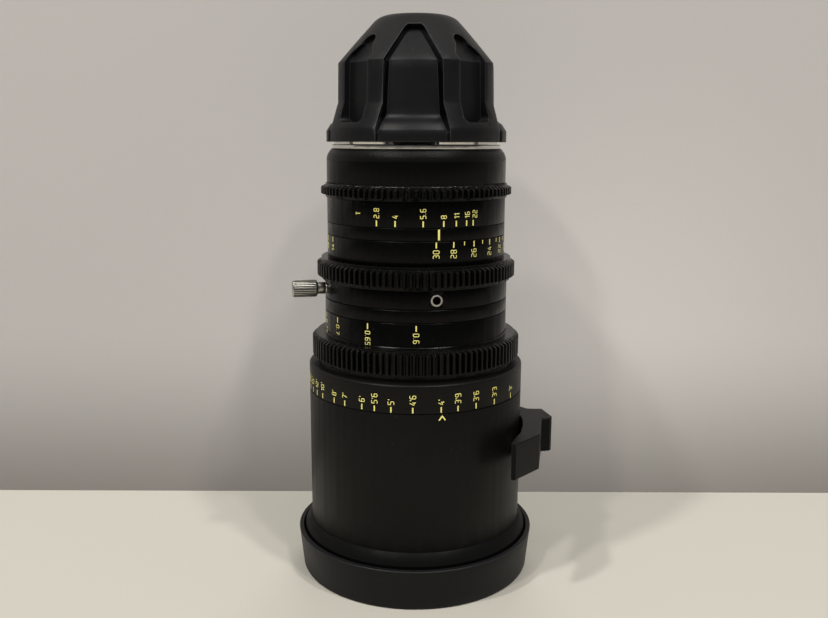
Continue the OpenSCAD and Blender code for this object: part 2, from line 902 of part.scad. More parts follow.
// one iris blade, in its own thin layer, turned inwards about its pivot
module blade(n) {
    z = iris_plate_z + iris_plate_h + n * layer - layer * half_share;
    color([0.2, 0.2, 0.22])
    at_az((n - 1) * 360 / blade_count)
    translate([0, -blade_pivot_r, 0])
    rotate([0, 0, -blade_rest])
    translate([0, blade_pivot_r, 0]) {
        translate([0, 0, z])
        linear_extrude(height = blade_h)
        union() {
            difference() {
                intersection() {
                    circle(r = blade_out_r);
                    rotate([0, 0, -90 - blade_span])
                    blade_wedge();
                }
                circle(r = blade_in_r);
            }
            translate([0, -blade_pivot_r]) circle(r = blade_tab_r);
            translate([-blade_tab_r, -blade_pivot_r])
            square([double_share * blade_tab_r, blade_pivot_r - blade_out_r + edge + edge]);
        }
        translate([0, -blade_pivot_r, iris_plate_z])
        cylinder(r = blade_pin_r, h = z - iris_plate_z);
    }
}

// sector of the stated span as a polygon that reaches beyond the blade's edge
module blade_wedge() {
    polygon([
        [0, 0],
        for (a = [0 : blade_wedge_steps])
        let (t = a * (blade_span + blade_root_span) / blade_wedge_steps)
        [cos(t) * blade_out_r * double_share, sin(t) * blade_out_r * double_share]
    ]);
}

module relay_cell() {
    color([0.13, 0.13, 0.14])
    difference() {
        tube(relay_r, relay_in, relay_z, relay_top);
        tube(relay_r + overrun, relay_r - cell_relief, relay_z + cell_land + web,
            relay_top - cell_land - web);
    }
}

module relay_element_a() {
    color([0.25, 0.4, 0.5, 0.35])
    element(relay_in, relay_z + cell_lip + web, relay_glass_edge,
        relay_bend_a_share, relay_bend_a_share);
}

module relay_element_b() {
    color([0.25, 0.4, 0.5, 0.35])
    element(relay_in, relay_top - web - relay_glass_edge, relay_glass_edge,
        relay_bend_b_share, -relay_bend_b_share);
}

module rear_shell() {
    round_z = shell_top - shell_round_h;
    color([0.07, 0.07, 0.07])
    difference() {
        union() {
            tube(scale_r, shell_in_r, iris_top, round_z);
            intersection() {
                translate([0, 0, round_z])
                rotate_extrude()
                translate([scale_r - shell_curve, 0])
                circle(r = shell_curve);
                tube(scale_r + overrun, shell_in_r, round_z, shell_top);
            }
            tube(shell_in_r + edge, register_seat_r, shell_top - shell_plate, shell_top);
        }
        mount_bolt_holes(shell_top - mount_bolt_len, shell_top + overrun, mount_bolt_hole_r);
    }
}

// four holes through or into the mount, between the wings
module mount_bolt_holes(z_lo, z_hi, r) {
    for (i = [0 : 3])
    at_az(i * 90)
    translate([0, -mount_bolt_r, z_lo])
    cylinder(r = r, h = z_hi - z_lo);
}

module mount_ring() {
    color([0.8, 0.79, 0.76])
    difference() {
        union() {
            turned([
                [register_seat_r, shell_top],
                [mount_disc_r, shell_top],
                [mount_disc_r, disc_top - edge * half_share],
                [mount_disc_r - edge * half_share, disc_top],
                [register_seat_r, disc_top]
            ]);
            tube(neck_r, register_seat_r, disc_top - edge, wing_top);
            for (i = [0 : 3])
            at_az(rear_cap_az + wing_az + i * 90)
            translate([0, 0, wing_z])
            rotate([0, 0, -90 - wing_span * half_share])
            rotate_extrude(angle = wing_span)
            translate([neck_r - edge, 0])
            square([wing_r - neck_r + edge, wing_top - wing_z]);
        }
        for (i = [0 : 3])
        at_az(rear_cap_az + wing_az + i * 90)
        translate([-notch_w * half_share, -wing_r - overrun, wing_z - (wing_z - disc_top) * half_share])
        cube([notch_w, notch_depth + overrun, wing_top - disc_top + overrun]);
        mount_bolt_holes(shell_top - overrun, disc_top + overrun, mount_bolt_hole_r);
        mount_bolt_holes(disc_top - mount_bolt_head_h, disc_top + overrun, mount_bolt_head_r);
    }
}

module mount_screws() {
    color([0.6, 0.6, 0.6]) {
        mount_bolt_holes(shell_top - mount_bolt_len + edge, disc_top - mount_bolt_head_h,
            mount_bolt_hole_r - foot_bolt_fit);
        difference() {
            mount_bolt_holes(disc_top - mount_bolt_head_h, disc_top - foot_bolt_fit,
                mount_bolt_head_r - foot_bolt_fit);
            for (i = [0 : 3])
            at_az(i * 90)
            translate([-notch_w * half_share, -mount_bolt_r - mount_bolt_cross * half_share,
                disc_top - mount_bolt_head_h * half_share])
            cube([notch_w, mount_bolt_cross, mount_bolt_head_h]);
        }
    }
}

module register_barrel() {
    color([0.8, 0.79, 0.76])
    turned([
        [relay_r, iris_top],
        [shell_in_r, iris_top],
        [shell_in_r, iris_top + shell_plate],
        [register_seat_r, iris_top + shell_plate],
        [register_seat_r, wing_top + register_relief_h],
        [register_r, wing_top + register_relief_h],
        [register_r, register_top - edge],
        [register_r - edge, register_top],
        [relay_r, register_top]
    ]);
}

module rear_nose() {
    color([0.05, 0.05, 0.05])
    turned([
        [nose_in_r, relay_top],
        [relay_r, relay_top],
        [relay_r, register_top],
        [nose_r, register_top],
        [nose_r, nose_top - edge],
        [nose_r - edge, nose_top],
        [nose_lip_r, nose_top],
        [nose_lip_r, nose_top - nose_lip_h],
        [nose_in_r, nose_top - nose_lip_h]
    ]);
}

// bolts or bolt holes of the foot, both parallel to the direction it faces
module foot_bolts(from_r, to_r, r) {
    at_az(foot_az)
    for (z = [foot_z + foot_bolt_inset, foot_z + foot_len - foot_bolt_inset])
    translate([foot_bolt_x, 0, 0])
    radial(r, from_r, to_r, z);
}

// square bar on a straight edge in plan, turned so that it bevels that edge
module edge_bar(a, b, z) {
    run = b - a;
    translate([a[0], a[1], z])
    rotate([0, 0, atan2(run[1], run[0])])
    rotate([45, 0, 0])
    translate([-overrun, -foot_bevel * half_share, -foot_bevel * half_share])
    cube([norm(run) + overrun + overrun, foot_bevel, foot_bevel]);
}

module foot() {
    color([0.08, 0.08, 0.08])
    difference() {
        at_az(foot_az)
        translate([0, 0, foot_z])
        difference() {
            linear_extrude(height = foot_len) polygon([for (q = foot_plan) foot_point(q)]);
            edge_bar(foot_point(foot_end_a), foot_point(foot_end_b), foot_len);
            edge_bar(foot_point(foot_end_a), foot_point(foot_end_b), 0);
            edge_bar(foot_point(foot_lip_a), foot_point(foot_lip_b), foot_len);
            translate([foot_hole_x, 0, 0])
            radial(foot_hole_r, barrel_r, foot_bolt_seat + web + web, foot_len * half_share);
        }
        translate([0, 0, foot_z - overrun])
        cylinder(r = barrel_r, h = foot_len + overrun + overrun);
        foot_bolts(foot_bolt_tip, foot_bolt_seat + overrun, foot_bolt_r + foot_bolt_fit);
        foot_bolts(foot_bolt_seat, foot_bolt_seat + web + web, foot_bolt_head_r + foot_bolt_fit);
    }
}

module foot_screws() {
    color([0.5, 0.5, 0.5])
    difference() {
        union() {
            foot_bolts(foot_bolt_tip, foot_bolt_seat, foot_bolt_r);
            foot_bolts(foot_bolt_seat, foot_bolt_seat + foot_bolt_head_h, foot_bolt_head_r);
        }
        at_az(foot_az)
        for (z = [foot_z + foot_bolt_inset, foot_z + foot_len - foot_bolt_inset])
        translate([foot_bolt_x, -foot_bolt_seat - foot_bolt_head_h * half_share, z])
        rotate([90, 0, 0])
        cylinder(r = foot_key_r, h = foot_bolt_head_h, $fn = 6);
    }
}

// prism of an outline in the upright plane, running outwards at azimuth 0
module panel_prism(plan) {
    rotate([90, 0, 0])
    linear_extrude(height = rear_cap_r + web) polygon(plan);
}

// finger pocket: rounded top and lower corners, down to a straight floor that slopes in under the crown
module pocket_cut() {
    low = cap_height(cap_pocket_base);
    neck = cap_height(cap_pocket_neck);
    top = cap_height(cap_pocket_top);
    inner = cap_pocket_half - cap_pocket_corner;
    intersection() {
        rotate([90, 0, 0])
        linear_extrude(height = rear_cap_r + web)
        union() {
            polygon([
                [-inner, low], [inner, low], [cap_pocket_half, low + cap_pocket_corner],
                [cap_pocket_half, neck], [cap_pocket_top_r, top], [-cap_pocket_top_r, top],
                [-cap_pocket_half, neck], [-cap_pocket_half, low + cap_pocket_corner]
            ]);
            translate([0, top]) circle(r = cap_pocket_top_r);
            translate([inner, low + cap_pocket_corner]) circle(r = cap_pocket_corner);
            translate([-inner, low + cap_pocket_corner]) circle(r = cap_pocket_corner);
        }
        translate([-rear_cap_r, 0, 0])
        rotate([90, 0, 90])
        linear_extrude(height = rear_cap_r + rear_cap_r)
        mirror([1, 0])
        polygon([
            [cap_pocket_floor_r + cap_seat_step, low - overrun],
            [cap_pocket_floor_r, cap_shoulder_z],
            [cap_pocket_floor_r - cap_pocket_back, rear_cap_top - cap_crown_back],
            [rear_cap_r + web, rear_cap_top - cap_crown_back],
            [rear_cap_r + web, low - overrun]
        ]);
    }
}

// hollow of the rear cap: over the wings, the register barrel and the nose
module cap_hollow() {
    turned([
        [0, rear_cap_z - cap_cavity_low],
        [cap_wing_r, rear_cap_z - cap_cavity_low],
        [cap_wing_r, cap_wing_top],
        [cap_seat_r, cap_wing_top],
        [cap_seat_r, cap_seat_top],
        [cap_bore_r, cap_seat_top + cap_seat_step],
        [cap_bore_r, nose_top + cap_nose_gap],
        [cap_cavity_top_r, rear_cap_top - cap_crown_back * double_share - cap_crown_back],
        [0, rear_cap_top - cap_crown_back * double_share - cap_crown_back]
    ]);
}

module rear_cap() {
    color([0.12, 0.12, 0.13])
    at_az(rear_cap_az)
    difference() {
        union() {
            difference() {
                turned(cap_outline(cap_body));
                for (i = [0 : 3])
                at_az(i * 90) panel_prism(cap_front(cap_channel_side));
                for (i = [0 : 3])
                at_az(wing_az + i * 90) pocket_cut();
            }
            intersection() {
                turned(cap_outline(cap_floor_line));
                union() {
                    for (i = [0 : 3])
                    at_az(i * 90) panel_prism(cap_front(widened(cap_channel_side, cap_channel_lap_share)));
                }
            }
            intersection() {
                turned(cap_outline(cap_panel_line));
                union() {
                    for (i = [0 : 3])
                    at_az(i * 90) panel_prism(cap_front(cap_panel_side));
                }
            }
        }
        cap_hollow();
    }
}

module blade_1() {
    blade(1);
}

module blade_2() {
    blade(2);
}

module blade_3() {
    blade(3);
}

module blade_4() {
    blade(4);
}

module blade_5() {
    blade(5);
}

module blade_6() {
    blade(6);
}

module blade_7() {
    blade(7);
}

module blade_8() {
    blade(8);
}

module blade_9() {
    blade(9);
}

module blade_10() {
    blade(10);
}

module blade_11() {
    blade(11);
}

module blade_12() {
    blade(12);
}

front_cap();
front_ring();
front_element();
front_retainer();
front_barrel();
focus_sleeve();
focus_cell();
focus_element_a();
focus_element_b();
core_tube();
feet_sleeve();
focus_gear();
metre_sleeve();
metre_index_ring();
guide_tube();
variator_cell();
variator_element_a();
variator_element_b();
compensator_cell();
compensator_element();
zoom_tube();
zoom_band();
zoom_gear();
zoom_scale();
thread_inserts();
lever_stem();
lever_head();
stop_index_ring();
iris_tube();
iris_scale();
iris_gear();
iris_actuator();
iris_plate();
blade_1();
blade_2();
blade_3();
blade_4();
blade_5();
blade_6();
blade_7();
blade_8();
blade_9();
blade_10();
blade_11();
blade_12();
relay_cell();
relay_element_a();
relay_element_b();
rear_shell();
mount_ring();
mount_screws();
register_barrel();
rear_nose();
foot();
foot_screws();
rear_cap();
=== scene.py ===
import bpy, json, math
from mathutils import Matrix, Vector


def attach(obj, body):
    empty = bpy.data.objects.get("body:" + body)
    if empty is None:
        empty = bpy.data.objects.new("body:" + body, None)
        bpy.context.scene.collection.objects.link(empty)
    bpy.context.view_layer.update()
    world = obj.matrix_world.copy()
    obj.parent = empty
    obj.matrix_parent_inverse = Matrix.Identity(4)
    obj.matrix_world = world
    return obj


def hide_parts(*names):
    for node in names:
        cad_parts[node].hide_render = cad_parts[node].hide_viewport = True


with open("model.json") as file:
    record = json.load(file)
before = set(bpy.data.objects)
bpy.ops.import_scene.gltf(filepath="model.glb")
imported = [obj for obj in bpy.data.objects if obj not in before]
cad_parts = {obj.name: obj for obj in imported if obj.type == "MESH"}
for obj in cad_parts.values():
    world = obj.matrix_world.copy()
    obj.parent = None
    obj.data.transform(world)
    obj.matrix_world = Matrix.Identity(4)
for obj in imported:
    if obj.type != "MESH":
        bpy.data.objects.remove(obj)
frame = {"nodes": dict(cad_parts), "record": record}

mm = 0.001
smoothAngle = math.radians(35)
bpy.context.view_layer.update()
nodes = frame["nodes"]
print("frame loaded:", len(nodes), "sub-parts")


# ---- small helpers

def clearSelection():
    for item in bpy.context.selected_objects:
        item.select_set(False)


def makeActive(piece):
    clearSelection()
    piece.select_set(True)
    bpy.context.view_layer.objects.active = piece


def applyModifiers(piece):
    makeActive(piece)
    for modifier in list(piece.modifiers):
        bpy.ops.object.modifier_apply(modifier=modifier.name)


def azimuthMatrix(azimuth):
    return Matrix.Rotation(math.radians(azimuth), 4, "Z")


def finishPiece(piece, name, body, material):
    # the place goes into the mesh, so that the object stays at the origin
    piece.name = name
    piece.data.name = name
    piece.data.transform(piece.matrix_world)
    piece.matrix_world = Matrix.Identity(4)
    piece.data.materials.clear()
    piece.data.materials.append(material)
    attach(piece, body)


# ---- shader groups

dustStyle = {"scale": 900, "share": 0.77, "color": (0.2, 0.19, 0.17)}
noiseSpan = (0.3, 0.7)

def newGroup(name, inputs, outputs):
    group = bpy.data.node_groups.new(name, "ShaderNodeTree")
    for label, value in inputs.items():
        socket = group.interface.new_socket(name=label, in_out="INPUT", socket_type="NodeSocketFloat")
        socket.default_value = value
    for label in outputs:
        group.interface.new_socket(name=label, in_out="OUTPUT", socket_type="NodeSocketFloat")
    return group, group.nodes.new("NodeGroupInput"), group.nodes.new("NodeGroupOutput")


def mathNode(tree, operation, first, second=None, clamp=False):
    node = tree.nodes.new("ShaderNodeMath")
    node.operation = operation
    node.use_clamp = clamp
    for index, value in enumerate((first, second)):
        if value is None:
            continue
        if isinstance(value, (int, float)):
            node.inputs[index].default_value = value
        else:
            tree.links.new(value, node.inputs[index])
    return node.outputs[0]


def noiseNode(tree, vector, scale, detail=3, roughness=0.55):
    node = tree.nodes.new("ShaderNodeTexNoise")
    node.inputs["Detail"].default_value = detail
    node.inputs["Roughness"].default_value = roughness
    if vector is not None:
        tree.links.new(vector, node.inputs["Vector"])
    if isinstance(scale, (int, float)):
        node.inputs["Scale"].default_value = scale
    else:
        tree.links.new(scale, node.inputs["Scale"])
    return node.outputs["Fac"]


def buildGrainGroup():
    # fine blasted grain, with a slow cloud and a few bright specks of dust
    group, given, result = newGroup("surfaceGrain", {"Scale": 3000, "Cloud Scale": 40}, ("Height", "Cloud", "Dust"))
    place = group.nodes.new("ShaderNodeTexCoord").outputs["Object"]
    fine = noiseNode(group, place, given.outputs["Scale"], 2, 0.6)
    cloud = noiseNode(group, place, given.outputs["Cloud Scale"], 4, 0.6)
    specks = noiseNode(group, place, dustStyle["scale"], 1, 0.4)
    dust = mathNode(group, "GREATER_THAN", specks, dustStyle["share"])
    group.links.new(fine, result.inputs["Height"])
    group.links.new(cloud, result.inputs["Cloud"])
    group.links.new(dust, result.inputs["Dust"])
    return group


def buildLatheGroup():
    # rings left by a turning tool: noise that changes only with radius and height
    group, given, result = newGroup("latheMarks", {"Scale": 4000}, ("Height",))
    place = group.nodes.new("ShaderNodeTexCoord").outputs["Object"]
    split = group.nodes.new("ShaderNodeSeparateXYZ")
    group.links.new(place, split.inputs[0])
    squareX = mathNode(group, "MULTIPLY", split.outputs["X"], split.outputs["X"])
    squareY = mathNode(group, "MULTIPLY", split.outputs["Y"], split.outputs["Y"])
    radius = mathNode(group, "SQRT", mathNode(group, "ADD", squareX, squareY))
    join = group.nodes.new("ShaderNodeCombineXYZ")
    group.links.new(radius, join.inputs["X"])
    group.links.new(split.outputs["Z"], join.inputs["Y"])
    group.links.new(noiseNode(group, join.outputs[0], given.outputs["Scale"], 2, 0.5), result.inputs["Height"])
    return group


def buildEdgeWearAndHighlightGroup():
    # mask of the outer edges, where handling rubs the finish brighter and a painted highlight stands for light caught
    # by the edges
    group, given, result = newGroup("edgeWearAndHighlight", {"Radius": 0.0002, "Strength": 4.0}, ("Mask",))
    soft = group.nodes.new("ShaderNodeBevel")
    soft.samples = 4
    group.links.new(given.outputs["Radius"], soft.inputs["Radius"])
    true = group.nodes.new("ShaderNodeNewGeometry")
    dot = group.nodes.new("ShaderNodeVectorMath")
    dot.operation = "DOT_PRODUCT"
    group.links.new(soft.outputs[0], dot.inputs[0])
    group.links.new(true.outputs["Normal"], dot.inputs[1])
    away = mathNode(group, "SUBTRACT", 1.0, dot.outputs["Value"])
    mask = mathNode(group, "MULTIPLY", away, given.outputs["Strength"], clamp=True)
    group.links.new(mask, result.inputs["Mask"])
    return group


grainGroup = buildGrainGroup()
latheGroup = buildLatheGroup()
edgeWearAndHighlightGroup = buildEdgeWearAndHighlightGroup()


def placeGroup(tree, group, **values):
    node = tree.nodes.new("ShaderNodeGroup")
    node.node_tree = group
    for label, value in values.items():
        node.inputs[label.replace("_", " ")].default_value = value
    return node


def mixColor(tree, factor, first, second, blend="MIX"):
    node = tree.nodes.new("ShaderNodeMix")
    node.data_type = "RGBA"
    node.blend_type = blend
    if isinstance(factor, (int, float)):
        node.inputs[0].default_value = factor
    else:
        tree.links.new(factor, node.inputs[0])
    for socket, value in ((node.inputs[6], first), (node.inputs[7], second)):
        if isinstance(value, tuple):
            socket.default_value = (*value, 1)
        else:
            tree.links.new(value, socket)
    return node.outputs[2]


def mapRange(tree, value, low, high):
    # the span that a noise value mostly keeps to, spread over low to high
    node = tree.nodes.new("ShaderNodeMapRange")
    tree.links.new(value, node.inputs["Value"])
    node.inputs["From Min"].default_value, node.inputs["From Max"].default_value = noiseSpan
    node.inputs["To Min"].default_value = low
    node.inputs["To Max"].default_value = high
    return node.outputs["Result"]


def bumpNode(tree, height, depth, reach=0.0002, under=None):
    node = tree.nodes.new("ShaderNodeBump")
    node.inputs["Strength"].default_value = depth
    node.inputs["Distance"].default_value = reach
    tree.links.new(height, node.inputs["Height"])
    if under is not None:
        tree.links.new(under, node.inputs["Normal"])
    return node.outputs["Normal"]


def newMaterial(name):
    material = bpy.data.materials.new(name)
    material.use_nodes = True
    tree = material.node_tree
    shader = tree.nodes["Principled BSDF"]
    return material, tree, shader


# ---- finishes

def blackFinish(name, finish):
    # anodised metal and moulded plastic: grain, cloud, edges lighter from wear and a painted highlight, and a little
    # dust
    material, tree, shader = newMaterial(name)
    grain = placeGroup(tree, grainGroup, Scale=finish["grainScale"], Cloud_Scale=finish["cloudScale"])
    edges = placeGroup(tree, edgeWearAndHighlightGroup, Radius=finish["edgeRadius"], Strength=finish["edgeStrength"])
    base = mixColor(tree, grain.outputs["Cloud"], finish["dark"], finish["light"])
    rubbedAndLit = mixColor(tree, edges.outputs["Mask"], base, finish["edge"])
    dustShare = mathNode(tree, "MULTIPLY", grain.outputs["Dust"], finish["dust"])
    tree.links.new(mixColor(tree, dustShare, rubbedAndLit, dustStyle["color"]), shader.inputs["Base Color"])
    tree.links.new(mapRange(tree, grain.outputs["Cloud"], *finish["roughness"]), shader.inputs["Roughness"])
    tree.links.new(bumpNode(tree, grain.outputs["Height"], finish["grainDepth"]), shader.inputs["Normal"])
    shader.inputs["Specular IOR Level"].default_value = finish["specular"]
    shader.inputs["Metallic"].default_value = 0
    return material


def steelFinish(name, finish):
    # turned or ground metal with fine tool marks
    material, tree, shader = newMaterial(name)
    grain = placeGroup(tree, grainGroup, Scale=2500, Cloud_Scale=60)
    marks = placeGroup(tree, latheGroup, Scale=finish["markScale"])
    color = mixColor(tree, grain.outputs["Cloud"], finish["dark"], finish["light"])
    tree.links.new(color, shader.inputs["Base Color"])
    tree.links.new(mapRange(tree, marks.outputs["Height"], *finish["roughness"]), shader.inputs["Roughness"])
    tree.links.new(bumpNode(tree, marks.outputs["Height"], finish["markDepth"], 0.00002), shader.inputs["Normal"])
    shader.inputs["Metallic"].default_value = 1
    return material


def occlusionShadedMetal(name, finish, reach):
    # the same metal, with painted shade where other faces stand close round it
    material = steelFinish(name, finish)
    tree = material.node_tree
    shader = tree.nodes["Principled BSDF"]
    closed = tree.nodes.new("ShaderNodeAmbientOcclusion")
    closed.inputs["Distance"].default_value = reach
    given = shader.inputs["Base Color"].links[0].from_socket
    dark = mathNode(tree, "POWER", closed.outputs["AO"], 3.0)
    tree.links.new(mixColor(tree, dark, (0.003, 0.003, 0.003), given), shader.inputs["Base Color"])
    return material


def insertMetalShadedBores(name, finish, azimuth, height, bore):
    # bright rims round the threads of holes on two crossed lines, with the metal inside each bore painted near-black as
    # shade
    material = steelFinish(name, finish)
    tree = material.node_tree
    shader = tree.nodes["Principled BSDF"]
    split = tree.nodes.new("ShaderNodeSeparateXYZ")
    tree.links.new(tree.nodes.new("ShaderNodeTexCoord").outputs["Object"], split.inputs[0])
    c, n = math.cos(math.radians(azimuth)), math.sin(math.radians(azimuth))
    up = mathNode(tree, "SUBTRACT", split.outputs["Z"], height)
    away = []
    for first, second in ((c, n), (n, -c)):
        side = mathNode(tree, "ADD", mathNode(tree, "MULTIPLY", split.outputs["X"], first),
                        mathNode(tree, "MULTIPLY", split.outputs["Y"], second))
        square = mathNode(tree, "ADD", mathNode(tree, "MULTIPLY", side, side), mathNode(tree, "MULTIPLY", up, up))
        away.append(mathNode(tree, "SQRT", square))
    rim = mathNode(tree, "GREATER_THAN", mathNode(tree, "MINIMUM", *away), bore)
    given = shader.inputs["Base Color"].links[0].from_socket
    # painted shade: near-black inside the bores
    tree.links.new(mixColor(tree, rim, (0.004, 0.0035, 0.003), given), shader.inputs["Base Color"])
    return material


def glassFinish(name, tint, coat):
    # lens glass: a thin coloured coating over clear glass, with faint smears
    material, tree, shader = newMaterial(name)
    grain = placeGroup(tree, grainGroup, Scale=400, Cloud_Scale=25)
    facing = tree.nodes.new("ShaderNodeLayerWeight")
    facing.inputs["Blend"].default_value = 0.35
    color = mixColor(tree, facing.outputs["Facing"], tint, coat)
    tree.links.new(color, shader.inputs["Base Color"])
    tree.links.new(mapRange(tree, grain.outputs["Cloud"], 0.0, 0.03), shader.inputs["Roughness"])
    shader.inputs["Transmission Weight"].default_value = 1
    shader.inputs["Metallic"].default_value = 0
    shader.inputs["IOR"].default_value = 1.6
    return material


def paintFinish(name, color, worn):
    # filled scale paint, a little uneven
    material, tree, shader = newMaterial(name)
    grain = placeGroup(tree, grainGroup, Scale=5000, Cloud_Scale=900)
    tree.links.new(mixColor(tree, grain.outputs["Cloud"], color, worn), shader.inputs["Base Color"])
    tree.links.new(mapRange(tree, grain.outputs["Cloud"], 0.45, 0.7), shader.inputs["Roughness"])
    tree.links.new(bumpNode(tree, grain.outputs["Height"], 0.15, 0.00005), shader.inputs["Normal"])
    return material


# in the black finishes the edge colour is partly wear and partly a painted highlight on the edges
finishes = {
    "satin_black": blackFinish("satinBlack", {
        "dark": (0.0042, 0.0041, 0.0037), "light": (0.0068, 0.0066, 0.0058), "edge": (0.03, 0.029, 0.026),
        "grainScale": 3800, "grainDepth": 0.16, "cloudScale": 30, "roughness": (0.36, 0.44),
        "specular": 0.12, "edgeRadius": 0.00025, "edgeStrength": 0.8, "dust": 0.06}),
    "fine_black": blackFinish("fineBlack", {
        "dark": (0.0012, 0.0012, 0.0012), "light": (0.0022, 0.0022, 0.0022), "edge": (0.02, 0.02, 0.02),
        "grainScale": 5200, "grainDepth": 0.1, "cloudScale": 40, "roughness": (0.22, 0.28),
        "specular": 0.1, "edgeRadius": 0.0002, "edgeStrength": 0.8, "dust": 0.06}),
    "gear_black": blackFinish("gearBlack", {
        "dark": (0.001, 0.001, 0.001), "light": (0.0022, 0.0022, 0.0022), "edge": (0.05, 0.049, 0.047),
        "grainScale": 4200, "grainDepth": 0.08, "cloudScale": 60, "roughness": (0.22, 0.3),
        "specular": 0.14, "edgeRadius": 0.00014, "edgeStrength": 3.0, "dust": 0.08}),
    "cap_black": blackFinish("capBlack", {
        "dark": (0.0042, 0.0044, 0.0052), "light": (0.007, 0.0072, 0.0082), "edge": (0.06, 0.06, 0.065),
        "grainScale": 2600, "grainDepth": 0.24, "cloudScale": 45, "roughness": (0.4, 0.5),
        "specular": 0.18, "edgeRadius": 0.0007, "edgeStrength": 2.2, "dust": 0.08}),
    "inner_black": blackFinish("innerBlack", {
        "dark": (0.004, 0.004, 0.0042), "light": (0.007, 0.007, 0.0072), "edge": (0.02, 0.02, 0.02),
        "grainScale": 3000, "grainDepth": 0.15, "cloudScale": 50, "roughness": (0.55, 0.7),
        "specular": 0.2, "edgeRadius": 0.0002, "edgeStrength": 1.0, "dust": 0.1}),
    "steel": steelFinish("polishedSteel", {
        "dark": (0.56, 0.54, 0.51), "light": (0.74, 0.72, 0.68), "roughness": (0.14, 0.28),
        "markScale": 5000, "markDepth": 0.12}),
    "knurled": steelFinish("knurledSteel", {
        "dark": (0.4, 0.385, 0.35), "light": (0.56, 0.54, 0.5), "roughness": (0.3, 0.44),
        "markScale": 3500, "markDepth": 0.2}),
    "inner_metal": steelFinish("turnedMetal", {
        "dark": (0.22, 0.21, 0.2), "light": (0.34, 0.33, 0.31), "roughness": (0.3, 0.45),
        "markScale": 2500, "markDepth": 0.25}),
    "blade_steel": steelFinish("bladeSteel", {
        "dark": (0.05, 0.05, 0.055), "light": (0.09, 0.09, 0.1), "roughness": (0.32, 0.45),
        "markScale": 1800, "markDepth": 0.08}),
    "coated_glass": glassFinish("coatedGlass", (0.82, 0.9, 0.88), (0.5, 0.38, 0.62)),
}
scalePaint = paintFinish("scalePaint", (0.98, 0.91, 0.29), (0.93, 0.85, 0.23))


def zonedFinish(name, upper, lower, height, coarse):
    # one finish above a height and another below it, with a coarser grain above
    material, tree, shader = newMaterial(name)
    split = tree.nodes.new("ShaderNodeSeparateXYZ")
    tree.links.new(tree.nodes.new("ShaderNodeTexCoord").outputs["Object"], split.inputs[0])
    above = mathNode(tree, "GREATER_THAN", split.outputs["Z"], height)
    grain = placeGroup(tree, grainGroup, Scale=upper["grainScale"], Cloud_Scale=30)
    shade = mixColor(tree, grain.outputs["Cloud"], upper["dark"], upper["light"])
    tree.links.new(mixColor(tree, above, lower["color"], shade), shader.inputs["Base Color"])
    smoother = mathNode(tree, "MULTIPLY", above, lower["roughness"] - upper["roughness"])
    tree.links.new(mathNode(tree, "SUBTRACT", lower["roughness"], smoother), shader.inputs["Roughness"])
    shader.inputs["Specular IOR Level"].default_value = upper["specular"]
    depth = mathNode(tree, "ADD", mathNode(tree, "MULTIPLY", above, coarse), lower["grainDepth"])
    relief = mathNode(tree, "MULTIPLY", grain.outputs["Height"], depth)
    tree.links.new(bumpNode(tree, relief, 1.0), shader.inputs["Normal"])
    return material


# sub-parts whose finish differs from that of their slot
ownFinishes = {
    # below 17.6 mm, in the gap inside the cap rim, the ring is painted near-black and matt as shade
    "front_ring": zonedFinish("frontRingShadedBelow", {
        "dark": (0.004, 0.004, 0.0042), "light": (0.0062, 0.0062, 0.0062), "roughness": 0.4,
        "specular": 0.05, "grainScale": 3800,
    }, {"color": (0.0006, 0.0006, 0.0006), "roughness": 0.9, "grainDepth": 0.14}, height=0.0176, coarse=0),
    "rear_shell": zonedFinish("shellBlack", {
        "dark": (0.003, 0.003, 0.003), "light": (0.005, 0.005, 0.005), "roughness": 0.34,
        "specular": 0.1, "grainScale": 1500,
    }, {"color": (0.0017, 0.0017, 0.0017), "roughness": 0.26, "grainDepth": 0.14}, height=0.1722, coarse=0.8),
    "foot": blackFinish("footBlack", {
        "dark": (0.0022, 0.0023, 0.0021), "light": (0.0038, 0.004, 0.0036), "edge": (0.05, 0.05, 0.047),
        "grainScale": 3800, "grainDepth": 0.16, "cloudScale": 30, "roughness": (0.34, 0.42),
        "specular": 0.1, "edgeRadius": 0.0004, "edgeStrength": 1.6, "dust": 0.06}),
    "thread_inserts": insertMetalShadedBores("boredSteel", {
        "dark": (0.56, 0.54, 0.5), "light": (0.7, 0.68, 0.64), "roughness": (0.24, 0.36),
        "markScale": 5000, "markDepth": 0.1}, azimuth=12, height=0.1206, bore=0.00162),
    # the zoom tube and the lever stem are painted darker as shade where faces close round them
    "zoom_tube": occlusionShadedMetal("tubeMetal", {
        "dark": (0.2, 0.19, 0.18), "light": (0.3, 0.29, 0.27), "roughness": (0.35, 0.5),
        "markScale": 2500, "markDepth": 0.2}, reach=0.005),
    "lever_stem": occlusionShadedMetal("leverSteel", {
        "dark": (0.42, 0.4, 0.36), "light": (0.6, 0.58, 0.54), "roughness": (0.26, 0.4),
        "markScale": 4500, "markDepth": 0.12}, reach=0.0016),
}

for record in frame["record"]["materials"]:
    print("slot", record["slot"])
for name, node in nodes.items():
    for entry in node.material_slots:
        base = entry.material.name.split(".")[0]
        if base in finishes:
            entry.material = finishes[base]
        else:
            print("no finish for", name, base)
for name, finish in ownFinishes.items():
    for entry in nodes[name].material_slots:
        entry.material = finish



# ---- softened machined edges on the turned rings and the caps

